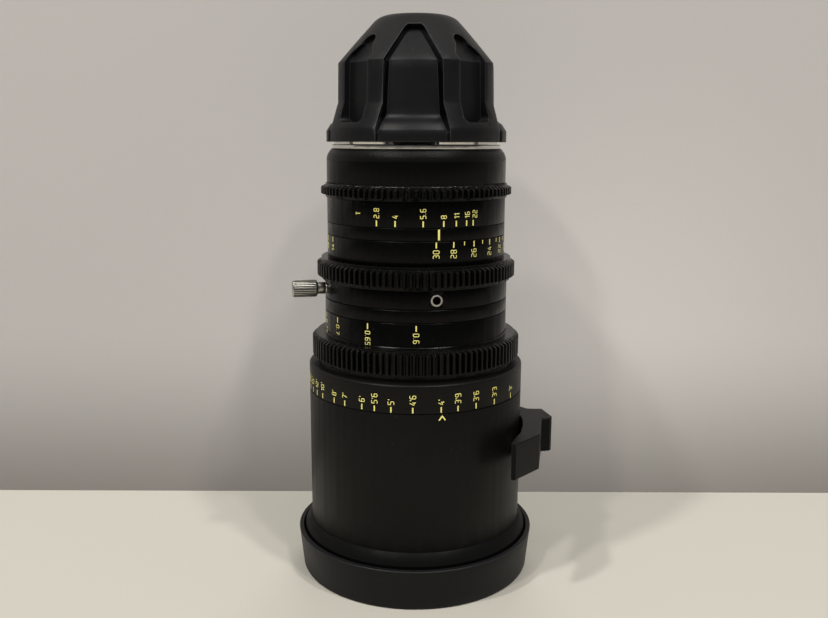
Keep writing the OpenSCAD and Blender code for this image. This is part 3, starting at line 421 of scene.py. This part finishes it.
softEdges = {
    "front_cap": 0.35, "front_ring": 0.2, "front_barrel": 0.3, "feet_sleeve": 0.2, "metre_sleeve": 0.15,
    "metre_index_ring": 0.25, "zoom_band": 0.2, "zoom_scale": 0.25, "stop_index_ring": 0.15,
    "iris_scale": 0.15, "rear_shell": 0.15, "mount_ring": 0.15, "foot": 0.35, "rear_cap": 0.5,
    "focus_gear": 0.16, "zoom_gear": 0.16, "iris_gear": 0.14, "lever_stem": 0.15, "thread_inserts": 0.15,
    "rear_nose": 0.2, "register_barrel": 0.15,
}
edgeStyle = {"seam": 0.002, "segments": 2, "sharp": 38}
for name, width in softEdges.items():
    weld = nodes[name].modifiers.new("closeSeams", "WELD")
    weld.merge_threshold = edgeStyle["seam"] * mm
    soft = nodes[name].modifiers.new("softEdge", "BEVEL")
    soft.width = width * mm
    soft.segments = edgeStyle["segments"]
    soft.limit_method = "ANGLE"
    soft.angle_limit = math.radians(edgeStyle["sharp"])
    soft.harden_normals = True
    soft.use_clamp_overlap = True
print("edges softened on", len(softEdges), "sub-parts")


# ---- scale numerals, drawn as strokes and laid round the sleeves

# in shares of the height of a numeral
strokeFont = {"wide": 0.5, "corner": 0.12, "space": 0.3, "dotWidth": 0.11}


def glyphPaths(sign):
    w, c = strokeFont["wide"], strokeFont["corner"]
    signs = {
        "0": [[(c, 0), (w - c, 0), (w, c), (w, 1 - c), (w - c, 1), (c, 1), (0, 1 - c), (0, c), (c, 0)]],
        "1": [[(0, 0.78), (0.25, 1), (0.25, 0)]],
        "2": [[(0, 1), (w - c, 1), (w, 1 - c), (w, 0.5 + c), (w - c, 0.5), (c, 0.5), (0, 0.5 - c), (0, 0), (w, 0)]],
        "3": [[(0, 1), (w - c, 1), (w, 1 - c), (w, 0.5 + c), (w - c, 0.5), (w, 0.5 - c), (w, c), (w - c, 0), (0, 0)],
              [(w - c, 0.5), (0.16, 0.5)]],
        "4": [[(0.34, 1), (0, 0.28), (w, 0.28)], [(0.42, 0.56), (0.42, 0)]],
        "5": [[(w, 1), (0, 1), (0, 0.54), (w - c, 0.54), (w, 0.54 - c), (w, c), (w - c, 0), (0, 0)]],
        "6": [[(w, 1), (c, 1), (0, 1 - c), (0, c), (c, 0), (w - c, 0), (w, c), (w, 0.54 - c), (w - c, 0.54), (0, 0.54)]],
        "7": [[(0, 1), (w, 1), (w, 0.84), (0.2, 0)]],
        "8": [[(c, 0), (w - c, 0), (w, c), (w, 0.5 - c), (w - c, 0.5), (c, 0.5), (0, 0.5 - c), (0, c), (c, 0)],
              [(c, 0.5), (0, 0.5 + c), (0, 1 - c), (c, 1), (w - c, 1), (w, 1 - c), (w, 0.5 + c), (w - c, 0.5)]],
        "9": [[(0, 0), (w - c, 0), (w, c), (w, 1 - c), (w - c, 1), (c, 1), (0, 1 - c), (0, 0.46 + c), (c, 0.46), (w, 0.46)]],
        ".": [[(0.055, 0.0), (0.055, 0.07)]],
        "'": [[(0, 0.76), (0, 1)]],
        "T": [[(0, 1), (w, 1)], [(w / 2, 1), (w / 2, 0)]],
        "~": [[(0.25, 0.3), (0.1, 0.3), (0, 0.4), (0, 0.55), (0.1, 0.65), (0.25, 0.65), (0.6, 0.3), (0.75, 0.3),
               (0.85, 0.4), (0.85, 0.55), (0.75, 0.65), (0.6, 0.65), (0.25, 0.3)]],
    }
    return signs[sign]


def signWidth(sign):
    if sign == ".":
        return strokeFont["dotWidth"]
    return max(x for path in glyphPaths(sign) for x, y in path)


def labelWidth(text):
    return sum(signWidth(sign) + strokeFont["space"] for sign in text) - strokeFont["space"]


def labelStrokes(text, azimuth, start, height, lean, radius):
    # lean 1 reads upwards from start, lean -1 reads downwards from start
    strokes = []
    along = 0.0
    for sign in text:
        for path in glyphPaths(sign):
            strokes.append([(
                math.radians(azimuth) * radius - lean * (y - 0.5) * height,
                start + lean * (along + x) * height) for x, y in path])
        along += signWidth(sign) + strokeFont["space"]
    return strokes


def splitStroke(stroke, step=0.5):
    points = [stroke[0]]
    for first, last in zip(stroke, stroke[1:]):
        pieces = max(1, math.ceil(math.dist(first, last) / step))
        for k in range(1, pieces + 1):
            share = k / pieces
            points.append((first[0] + (last[0] - first[0]) * share, first[1] + (last[1] - first[1]) * share))
    return points


def layMarks(name, body, radius, strokes):
    # strokes are (points, width) in flat millimetres: along the sleeve, then up it
    parts = []
    for width in sorted({width for points, width in strokes}):
        curve = bpy.data.curves.new(name, "CURVE")
        curve.dimensions = "3D"
        curve.bevel_depth = width / 2
        curve.bevel_resolution = 1
        curve.use_fill_caps = True
        for points, ownWidth in strokes:
            if ownWidth != width:
                continue
            points = splitStroke(points)
            spline = curve.splines.new("POLY")
            spline.points.add(len(points) - 1)
            for place, (x, y) in zip(spline.points, points):
                place.co = (x, y, 0, 1)
        drawn = bpy.data.objects.new(name, curve)
        bpy.context.scene.collection.objects.link(drawn)
        makeActive(drawn)
        bpy.ops.object.convert(target="MESH")
        for vertex in drawn.data.vertices:
            x, y, z = vertex.co
            relief = markStyle["proud"] * z / (width / 2)
            angle = x / radius
            reach = radius + markStyle["lift"] + relief
            vertex.co = Vector((reach * math.sin(angle), -reach * math.cos(angle), y)) * mm
        parts.append(drawn)
    clearSelection()
    for part in parts:
        part.select_set(True)
    bpy.context.view_layer.objects.active = parts[0]
    if len(parts) > 1:
        bpy.ops.object.join()
    finishPiece(parts[0], name, body, scalePaint)


markStyle = {
    "proud": 0.035, "lift": 0.012, "stroke": 0.31, "tick": 2.15, "tickWidth": 0.58, "thin": 0.42,
    "minor": 1.5, "gap": 0.95,
}


def tick(azimuth, radius, low, high):
    x = math.radians(azimuth) * radius
    return [(x, low), (x, high)]


def labelMarks(text, azimuth, start, height, lean, radius):
    return [(stroke, markStyle["stroke"]) for stroke in labelStrokes(text, azimuth, start, height, lean, radius)]


def distanceAzimuth(metres):
    # the focus scale opens out towards near distances
    if metres is None:
        return focusScale["farAzimuth"]
    return focusScale["farAzimuth"] + focusScale["spread"] / (metres - focusScale["nearLimit"])


focusScale = {
    "farAzimuth": -93.8, "spread": 107.7, "nearLimit": 0.207, "foot": 0.3048, "metreTurn": 180,
    "feetHeight": 2.3, "metreHeight": 2.15, "feetRadius": 44.7, "feetBase": 78.75, "metreRadius": 37.7,
    "metreTop": 110.95,
    "feet": [("~", None), ("50'", 50), ("30'", 30), ("20'", 20), ("15'", 15), ("12'", 12), ("10'", 10), ("8'", 8),
             ("7'", 7), ("6'", 6), ("5'6", 5.5), ("5'", 5), ("4'6", 4.5), ("4'", 4), ("3'9", 3.75), ("3'6", 3.5),
             ("3'3", 3.25), ("3'", 3), ("2'6", 2.5), ("2'3", 2.25), ("2'", 2)],
    "metres": [("~", None), ("10", 10), ("5", 5), ("4", 4), ("3", 3), ("2.5", 2.5), ("2", 2), ("1.7", 1.7),
               ("1.5", 1.5), ("1.3", 1.3), ("1.2", 1.2), ("1.1", 1.1), ("1", 1), ("0.9", 0.9), ("0.85", 0.85), ("0.8", 0.8),
               ("0.75", 0.75), ("0.7", 0.7), ("0.65", 0.65), ("0.6", 0.6)],
    "nudge": {"0.65": 1.2},
}

# feet, read upwards from their ticks on the front sleeve
feetStrokes = []
for text, feet in focusScale["feet"]:
    azimuth = distanceAzimuth(feet and feet * focusScale["foot"])
    radius, base, top = focusScale["feetRadius"], focusScale["feetBase"], focusScale["feetBase"] + markStyle["tick"]
    feetStrokes.append((tick(azimuth, radius, base, top), markStyle["tickWidth"]))
    feetStrokes += labelMarks(text, azimuth, top + markStyle["gap"], focusScale["feetHeight"], 1, radius)
layMarks("feetScaleMarks", "focus_ring", focusScale["feetRadius"], feetStrokes)

# metres, read downwards from their ticks on the far sleeve
metreStrokes = []
for text, metres in focusScale["metres"]:
    azimuth = distanceAzimuth(metres) + focusScale["metreTurn"] + focusScale["nudge"].get(text, 0)
    radius, top, base = focusScale["metreRadius"], focusScale["metreTop"], focusScale["metreTop"] - markStyle["tick"]
    metreStrokes.append((tick(azimuth, radius, base, top), markStyle["tickWidth"]))
    metreStrokes += labelMarks(text, azimuth, base - markStyle["gap"], focusScale["metreHeight"], -1, radius)
layMarks("metreScaleMarks", "focus_ring", focusScale["metreRadius"], metreStrokes)

# focal lengths on the zoom sleeve, twice round the ring
zoomScale = {
    "radius": 36.4, "top": 142.45, "height": 2.3,
    "lengths": [("30", 12), ("28", 23), ("26", 37.5), ("24", 51.9), ("22", 65.6), ("20", 78.6), ("18", 91),
                ("16", 103), ("14", 115)],
    "between": [30.3, 44.8, 60.1, 72.2],
    "turns": (0, 180),
}
zoomStrokes = []
for turn in zoomScale["turns"]:
    for text, azimuth in zoomScale["lengths"]:
        base = zoomScale["top"] - markStyle["tick"]
        zoomStrokes.append((tick(azimuth + turn, zoomScale["radius"], base, zoomScale["top"]), markStyle["tickWidth"]))
        reach = base - markStyle["gap"] - labelWidth(text) * zoomScale["height"]
        zoomStrokes += labelMarks(text, azimuth + turn, reach, zoomScale["height"], 1, zoomScale["radius"])
    for azimuth in zoomScale["between"]:
        zoomStrokes.append((tick(azimuth + turn, zoomScale["radius"], zoomScale["top"] - markStyle["minor"],
                                 zoomScale["top"]), markStyle["thin"]))
layMarks("zoomScaleMarks", "zoom_ring", zoomScale["radius"], zoomStrokes)

# stops on the iris sleeve, twice round the ring
irisScale = {
    "radius": 36.4, "base": 148.3, "height": 2.05,
    "stops": [("2.8", -24.2), ("4", -12.5), ("5.6", 4.1), ("8", 16.5), ("11", 24.5), ("16", 31.6), ("22", 36.5)],
    "aside": {"11": 0.3, "16": 0.5, "22": 1.3},
    "letter": ("T", -37.2), "letterRise": 4,
    "turns": (0, 180),
}
irisStrokes = []
for turn in irisScale["turns"]:
    for text, azimuth in irisScale["stops"]:
        top = irisScale["base"] + markStyle["tick"]
        irisStrokes.append((tick(azimuth + turn, irisScale["radius"], irisScale["base"], top), markStyle["tickWidth"]))
        reading = azimuth + turn + irisScale["aside"].get(text, 0)
        irisStrokes += labelMarks(text, reading, top + markStyle["gap"], irisScale["height"], 1, irisScale["radius"])
    letter, azimuth = irisScale["letter"]
    reach = irisScale["base"] + irisScale["letterRise"]
    irisStrokes += labelMarks(letter, azimuth + turn, reach, irisScale["height"], 1, irisScale["radius"])
layMarks("irisScaleMarks", "iris_ring", irisScale["radius"], irisStrokes)

# fixed index lines and the arrow under the feet scale
indexMarks = {
    "azimuths": (13.6, 193.6), "stopRadius": 36.4, "stopSpan": (143.3, 147.3), "lineWidth": 0.85,
    "metreAzimuths": (193.6,), "metreRadius": 37.7, "metreSpan": (112.3, 116.2),
    "barrelRadius": 44.7, "arrowAzimuth": (13.15,), "arrowTip": 77.35, "arrowHalf": 1.2, "arrowDrop": 1.7,
}
layMarks("stopIndexMarks", "barrel", indexMarks["stopRadius"], [
    (tick(azimuth, indexMarks["stopRadius"], *indexMarks["stopSpan"]), indexMarks["lineWidth"])
    for azimuth in indexMarks["azimuths"]])
layMarks("metreIndexMark", "barrel", indexMarks["metreRadius"], [
    (tick(azimuth, indexMarks["metreRadius"], *indexMarks["metreSpan"]), indexMarks["lineWidth"])
    for azimuth in indexMarks["metreAzimuths"]])
arrowStrokes = []
for azimuth in indexMarks["arrowAzimuth"]:
    x = math.radians(azimuth) * indexMarks["barrelRadius"]
    foot = indexMarks["arrowTip"] - indexMarks["arrowDrop"]
    arrowStrokes.append(([(x - indexMarks["arrowHalf"], foot), (x, indexMarks["arrowTip"]),
                          (x + indexMarks["arrowHalf"], foot)], markStyle["tickWidth"]))
layMarks("feetIndexArrow", "barrel", indexMarks["barrelRadius"], arrowStrokes)
print("scales and index marks laid")


# ---- zoom lever: straight knurled head

leverHead = {"azimuth": -78, "height": 120.6, "from": 41.3, "to": 51.4, "radius": 3.5, "grooves": 24,
             "depth": 0.32, "chamfer": 0.5, "edge": 0.12, "sharp": 40}


def buildLeverHead():
    long = leverHead["to"] - leverHead["from"]
    middle = (leverHead["from"] + long / 2) * mm
    bpy.ops.mesh.primitive_cylinder_add(vertices=leverHead["grooves"] * 2, radius=leverHead["radius"] * mm,
                                        depth=long * mm, location=(0, 0, middle))
    head = bpy.context.object
    makeActive(head)
    bpy.ops.object.transform_apply(location=True)
    bpy.ops.object.mode_set(mode="EDIT")
    bpy.ops.mesh.select_mode(type="FACE")
    bpy.ops.mesh.select_all(action="DESELECT")
    bpy.ops.object.mode_set(mode="OBJECT")
    for face in head.data.polygons:
        face.select = abs(face.normal.z) > 0.9
    bpy.ops.object.mode_set(mode="EDIT")
    bpy.ops.mesh.inset(thickness=leverHead["chamfer"] * mm)
    bpy.ops.mesh.select_all(action="DESELECT")
    bpy.ops.object.mode_set(mode="OBJECT")
    # the outer rim moves in along the axis, which leaves a real chamfer at both ends
    for vertex in head.data.vertices:
        if math.hypot(vertex.co.x, vertex.co.y) > (leverHead["radius"] - 0.5 * leverHead["chamfer"]) * mm:
            vertex.co.z -= math.copysign(leverHead["chamfer"] * mm, vertex.co.z - middle)
    for face in head.data.polygons:
        angle = math.degrees(math.atan2(face.center.y, face.center.x)) % 360
        strip = int(angle / (180 / leverHead["grooves"]))
        face.select = abs(face.normal.z) < 0.1 and strip % 2 == 0
    bpy.ops.object.mode_set(mode="EDIT")
    bpy.ops.mesh.extrude_faces_move()
    bpy.ops.object.mode_set(mode="OBJECT")
    selected = {i for face in head.data.polygons if face.select for i in face.vertices}
    for index in selected:
        vertex = head.data.vertices[index]
        flat = Vector((vertex.co.x, vertex.co.y, 0))
        vertex.co -= flat.normalized() * leverHead["depth"] * mm
    soft = head.modifiers.new("softEdge", "BEVEL")
    soft.width = leverHead["edge"] * mm
    soft.segments = 2
    soft.limit_method = "ANGLE"
    soft.angle_limit = math.radians(leverHead["sharp"])
    applyModifiers(head)
    bpy.ops.object.shade_smooth_by_angle(angle=smoothAngle)
    turn = Matrix.Rotation(math.radians(90), 4, "X")
    head.data.transform(turn)
    head.data.transform(azimuthMatrix(leverHead["azimuth"]))
    head.data.transform(Matrix.Translation((0, 0, leverHead["height"] * mm)))
    finishPiece(head, "leverKnurledHead", "lever", ownFinishes["lever_stem"])
    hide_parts("lever_head")


buildLeverHead()
print("lever head knurled")


# ---- threads that the caps hide: the filter thread, and the light trap inside the rear nose

threadRuns = [
    {"name": "filterThread", "body": "barrel", "radius": 43, "low": 3.1, "turns": 6, "pitch": 0.75, "depth": 0.32,
     "finish": "satin_black"},
    {"name": "noseLightTrap", "body": "barrel", "radius": 19, "low": 191, "turns": 7, "pitch": 1.2, "depth": 0.7,
     "finish": "inner_black"},
]
threadStyle = {"halfShare": 0.42, "sunk": 0.03, "steps": 96}


def buildThread(run):
    # a pointed ridge with its back just outside the bore, wound up the bore
    data = bpy.data.meshes.new(run["name"])
    half = run["pitch"] * threadStyle["halfShare"]
    back = (run["radius"] + threadStyle["sunk"]) * mm
    data.from_pydata([(back, 0, run["low"] * mm),
                      ((run["radius"] - run["depth"]) * mm, 0, (run["low"] + half) * mm),
                      (back, 0, (run["low"] + 2 * half) * mm)],
                     [(0, 1), (1, 2), (2, 0)], [])
    ridge = bpy.data.objects.new(run["name"], data)
    bpy.context.scene.collection.objects.link(ridge)
    winding = ridge.modifiers.new("winding", "SCREW")
    winding.axis = "Z"
    winding.screw_offset = run["pitch"] * mm
    winding.iterations = run["turns"]
    winding.steps = winding.render_steps = threadStyle["steps"]
    winding.use_normal_calculate = True
    applyModifiers(ridge)
    bpy.ops.object.shade_smooth_by_angle(angle=smoothAngle)
    finishPiece(ridge, run["name"], run["body"], finishes[run["finish"]])


for run in threadRuns:
    buildThread(run)
print("threads wound:", len(threadRuns))


# ---- studio

studio = {
    "size": 6, "wallY": 0.07, "wallZ": 2.98, "floorColor": (0.5, 0.482, 0.426),
    "wallColor": (0.5, 0.478, 0.458), "wallLow": (0.232, 0.216, 0.199), "wallFar": (0.73, 0.73, 0.735),
    "lowSpan": (-0.02, 0.09), "poolCentre": (0.06, 0.07), "poolReach": (0.14, 0.11), "wallFill": 0.33,
    "tableEdge": -0.45, "tableFade": 0.12, "roomPatches": (0.05, 0.75),
}


def wallShadeAndLightPool(tree, place, tint):
    # painted shade, darker towards the table, and a painted pool of the lamps' light, brightest beside the lens
    split = tree.nodes.new("ShaderNodeSeparateXYZ")
    tree.links.new(place, split.inputs[0])
    ramp = tree.nodes.new("ShaderNodeMapRange")
    ramp.interpolation_type = "SMOOTHSTEP"
    tree.links.new(split.outputs["Z"], ramp.inputs["Value"])
    ramp.inputs["From Min"].default_value, ramp.inputs["From Max"].default_value = studio["lowSpan"]
    tint = mixColor(tree, ramp.outputs["Result"], studio["wallLow"], tint)
    squares = []
    for label, centre, reach in zip("XZ", studio["poolCentre"], studio["poolReach"]):
        away = mathNode(tree, "DIVIDE", mathNode(tree, "SUBTRACT", split.outputs[label], centre), reach)
        squares.append(mathNode(tree, "MULTIPLY", away, away))
    pool = mathNode(tree, "EXPONENT", mathNode(tree, "MULTIPLY", mathNode(tree, "ADD", *squares), -1.0))
    return mixColor(tree, pool, mixColor(tree, 1.0, tint, studio["wallFar"], "MULTIPLY"), tint)


def tableTint(tree, place, tint):
    # in reflections the table ends in front of the lens, and a dim patchy room lies beyond it
    split = tree.nodes.new("ShaderNodeSeparateXYZ")
    tree.links.new(place, split.inputs[0])
    beyond = tree.nodes.new("ShaderNodeMapRange")
    tree.links.new(split.outputs["Y"], beyond.inputs["Value"])
    beyond.inputs["From Min"].default_value = studio["tableEdge"]
    beyond.inputs["From Max"].default_value = studio["tableEdge"] - studio["tableFade"]
    reflected = tree.nodes.new("ShaderNodeLightPath").outputs["Is Glossy Ray"]
    patches = mapRange(tree, noiseNode(tree, place, 3.2, 2, 0.7), *studio["roomPatches"])
    hidden = mathNode(tree, "MULTIPLY", reflected, beyond.outputs["Result"])
    change = mathNode(tree, "MULTIPLY", hidden, mathNode(tree, "SUBTRACT", patches, 1.0))
    shade = mathNode(tree, "ADD", change, 1.0)
    join = tree.nodes.new("ShaderNodeCombineXYZ")
    for label in "XYZ":
        tree.links.new(shade, join.inputs[label])
    return mixColor(tree, 1.0, tint, join.outputs[0], "MULTIPLY")


def stageMaterial(name, color, tintSurface):
    material, tree, shader = newMaterial(name)
    place = tree.nodes.new("ShaderNodeTexCoord").outputs["Object"]
    tint = mixColor(tree, noiseNode(tree, place, 6, 3, 0.5), color, tuple(v * 1.03 for v in color))
    tree.links.new(tintSurface(tree, place, tint), shader.inputs["Base Color"])
    grain = noiseNode(tree, place, 700, 2, 0.6)
    tree.links.new(bumpNode(tree, grain, 0.12, 0.0004), shader.inputs["Normal"])
    shader.inputs["Roughness"].default_value = 0.85
    shader.inputs["Specular IOR Level"].default_value = 0.2
    return material, tree, shader


def buildStudio():
    bpy.ops.mesh.primitive_plane_add(size=studio["size"], location=(0, 0, 0))
    floor = bpy.context.object
    floor.name = "studioFloor"
    floor.data.materials.append(stageMaterial("paleTable", studio["floorColor"], tableTint)[0])
    bpy.ops.mesh.primitive_plane_add(size=studio["size"], location=(0, studio["wallY"], studio["wallZ"]),
                                     rotation=(math.radians(90), 0, 0))
    wall = bpy.context.object
    wall.name = "studioWall"
    bpy.ops.object.transform_apply(location=True, rotation=True)
    material, tree, shader = stageMaterial("paleWall", studio["wallColor"], wallShadeAndLightPool)
    # bounced light of the room fills part of the shadows on the wall
    tree.links.new(shader.inputs["Base Color"].links[0].from_socket, shader.inputs["Emission Color"])
    shader.inputs["Emission Strength"].default_value = studio["wallFill"]
    # the wall is seen only from its front, so that the lens shows from behind
    clear = tree.nodes.new("ShaderNodeBsdfTransparent")
    sides = tree.nodes.new("ShaderNodeNewGeometry")
    mix = tree.nodes.new("ShaderNodeMixShader")
    output = tree.nodes["Material Output"]
    tree.links.new(sides.outputs["Backfacing"], mix.inputs[0])
    tree.links.new(shader.outputs[0], mix.inputs[1])
    tree.links.new(clear.outputs[0], mix.inputs[2])
    tree.links.new(mix.outputs[0], output.inputs["Surface"])
    wall.data.materials.append(material)
    wall.visible_shadow = False
    wall.visible_diffuse = False


lampColor = (1, 0.97, 0.93)
lamps = [
    {"name": "lampRight", "place": (0.72, -0.745, 2.03), "target": (0, 0, 0.1), "size": (0.12, 0.12), "power": 14},
    {"name": "lampRightFar", "place": (0.65, -1.08, 1.7), "target": (0, 0, 0.1), "size": (0.12, 0.12), "power": 8.5},
    {"name": "lampLeft", "place": (-0.95, -0.665, 1.9), "target": (0, 0, 0.1), "size": (0.12, 0.12), "power": 16.5},
    {"name": "lampLeftFar", "place": (-0.773, -1.045, 1.48), "target": (0, 0, 0.1), "size": (0.12, 0.12), "power": 8.5},
    {"name": "lampOver", "place": (0, -0.5, 1.3), "target": (0, 0, 0.15), "size": (0.5, 0.12), "power": 1.4},
    {"name": "lampBack", "place": (0.2, 1.2, 1.5), "target": (0, 0, 0.1), "size": (0.8, 0.8), "power": 9},
]


def addLamp(lamp):
    light = bpy.data.lights.new(lamp["name"], "AREA")
    light.shape = "RECTANGLE"
    light.size, light.size_y = lamp["size"]
    light.energy = lamp["power"]
    light.color = lampColor
    item = bpy.data.objects.new(lamp["name"], light)
    item.location = lamp["place"]
    aim = Vector(lamp["target"]) - Vector(lamp["place"])
    item.rotation_euler = aim.to_track_quat("-Z", "Y").to_euler()
    bpy.context.scene.collection.objects.link(item)


room = {"color": (0.86, 0.85, 0.84), "light": 0.27, "seen": 0.9, "shine": 0.08, "stripShine": 0.45, "stripFade": 16.0}


def buildWorld():
    # the room is dim in reflections, apart from a bright strip at the height of the lens
    world = bpy.data.worlds.new("studioWorld")
    bpy.context.scene.world = world
    world.use_nodes = True
    tree = world.node_tree
    background = tree.nodes["Background"]
    background.inputs["Color"].default_value = (*room["color"], 1)
    path = tree.nodes.new("ShaderNodeLightPath")
    direction = tree.nodes.new("ShaderNodeSeparateXYZ")
    tree.links.new(tree.nodes.new("ShaderNodeTexCoord").outputs["Generated"], direction.inputs[0])
    away = mathNode(tree, "ABSOLUTE", direction.outputs["Z"])
    strip = mathNode(tree, "SUBTRACT", 1.0, mathNode(tree, "MULTIPLY", away, room["stripFade"]), clamp=True)
    shine = mathNode(tree, "ADD", mathNode(tree, "MULTIPLY", strip, room["stripShine"]), room["shine"])
    extraShine = mathNode(tree, "SUBTRACT", shine, room["light"])
    shineShare = mathNode(tree, "MULTIPLY", path.outputs["Is Glossy Ray"], extraShine)
    seen = mathNode(tree, "MAXIMUM", path.outputs["Is Camera Ray"], path.outputs["Is Transmission Ray"])
    seenShare = mathNode(tree, "MULTIPLY", seen, room["seen"] - room["light"])
    total = mathNode(tree, "ADD", mathNode(tree, "ADD", shineShare, seenShare), room["light"])
    tree.links.new(total, background.inputs["Strength"])


# the camera that was fitted to the photograph, in metres and degrees
cameraFit = {"lens": 38.245, "sensor": 36, "near": 0.01, "place": (-0.0007, -0.3636, 0.1796), "down": 10.78, "roll": 0.2}


def addCamera():
    camera = bpy.data.cameras.new("photoCamera")
    camera.lens = cameraFit["lens"]
    camera.sensor_width = cameraFit["sensor"]
    camera.clip_start = cameraFit["near"]
    item = bpy.data.objects.new("photoCamera", camera)
    item.rotation_mode = "XYZ"
    tilt = Matrix.Rotation(math.radians(90 - cameraFit["down"]), 4, "X")
    item.matrix_world = Matrix.Translation(cameraFit["place"]) @ tilt @ azimuthMatrix(cameraFit["roll"])
    bpy.context.scene.collection.objects.link(item)
    bpy.context.scene.camera = item


buildStudio()
for lamp in lamps:
    addLamp(lamp)
buildWorld()
addCamera()
bpy.context.scene.view_settings.view_transform = "Standard"
print("studio ready")
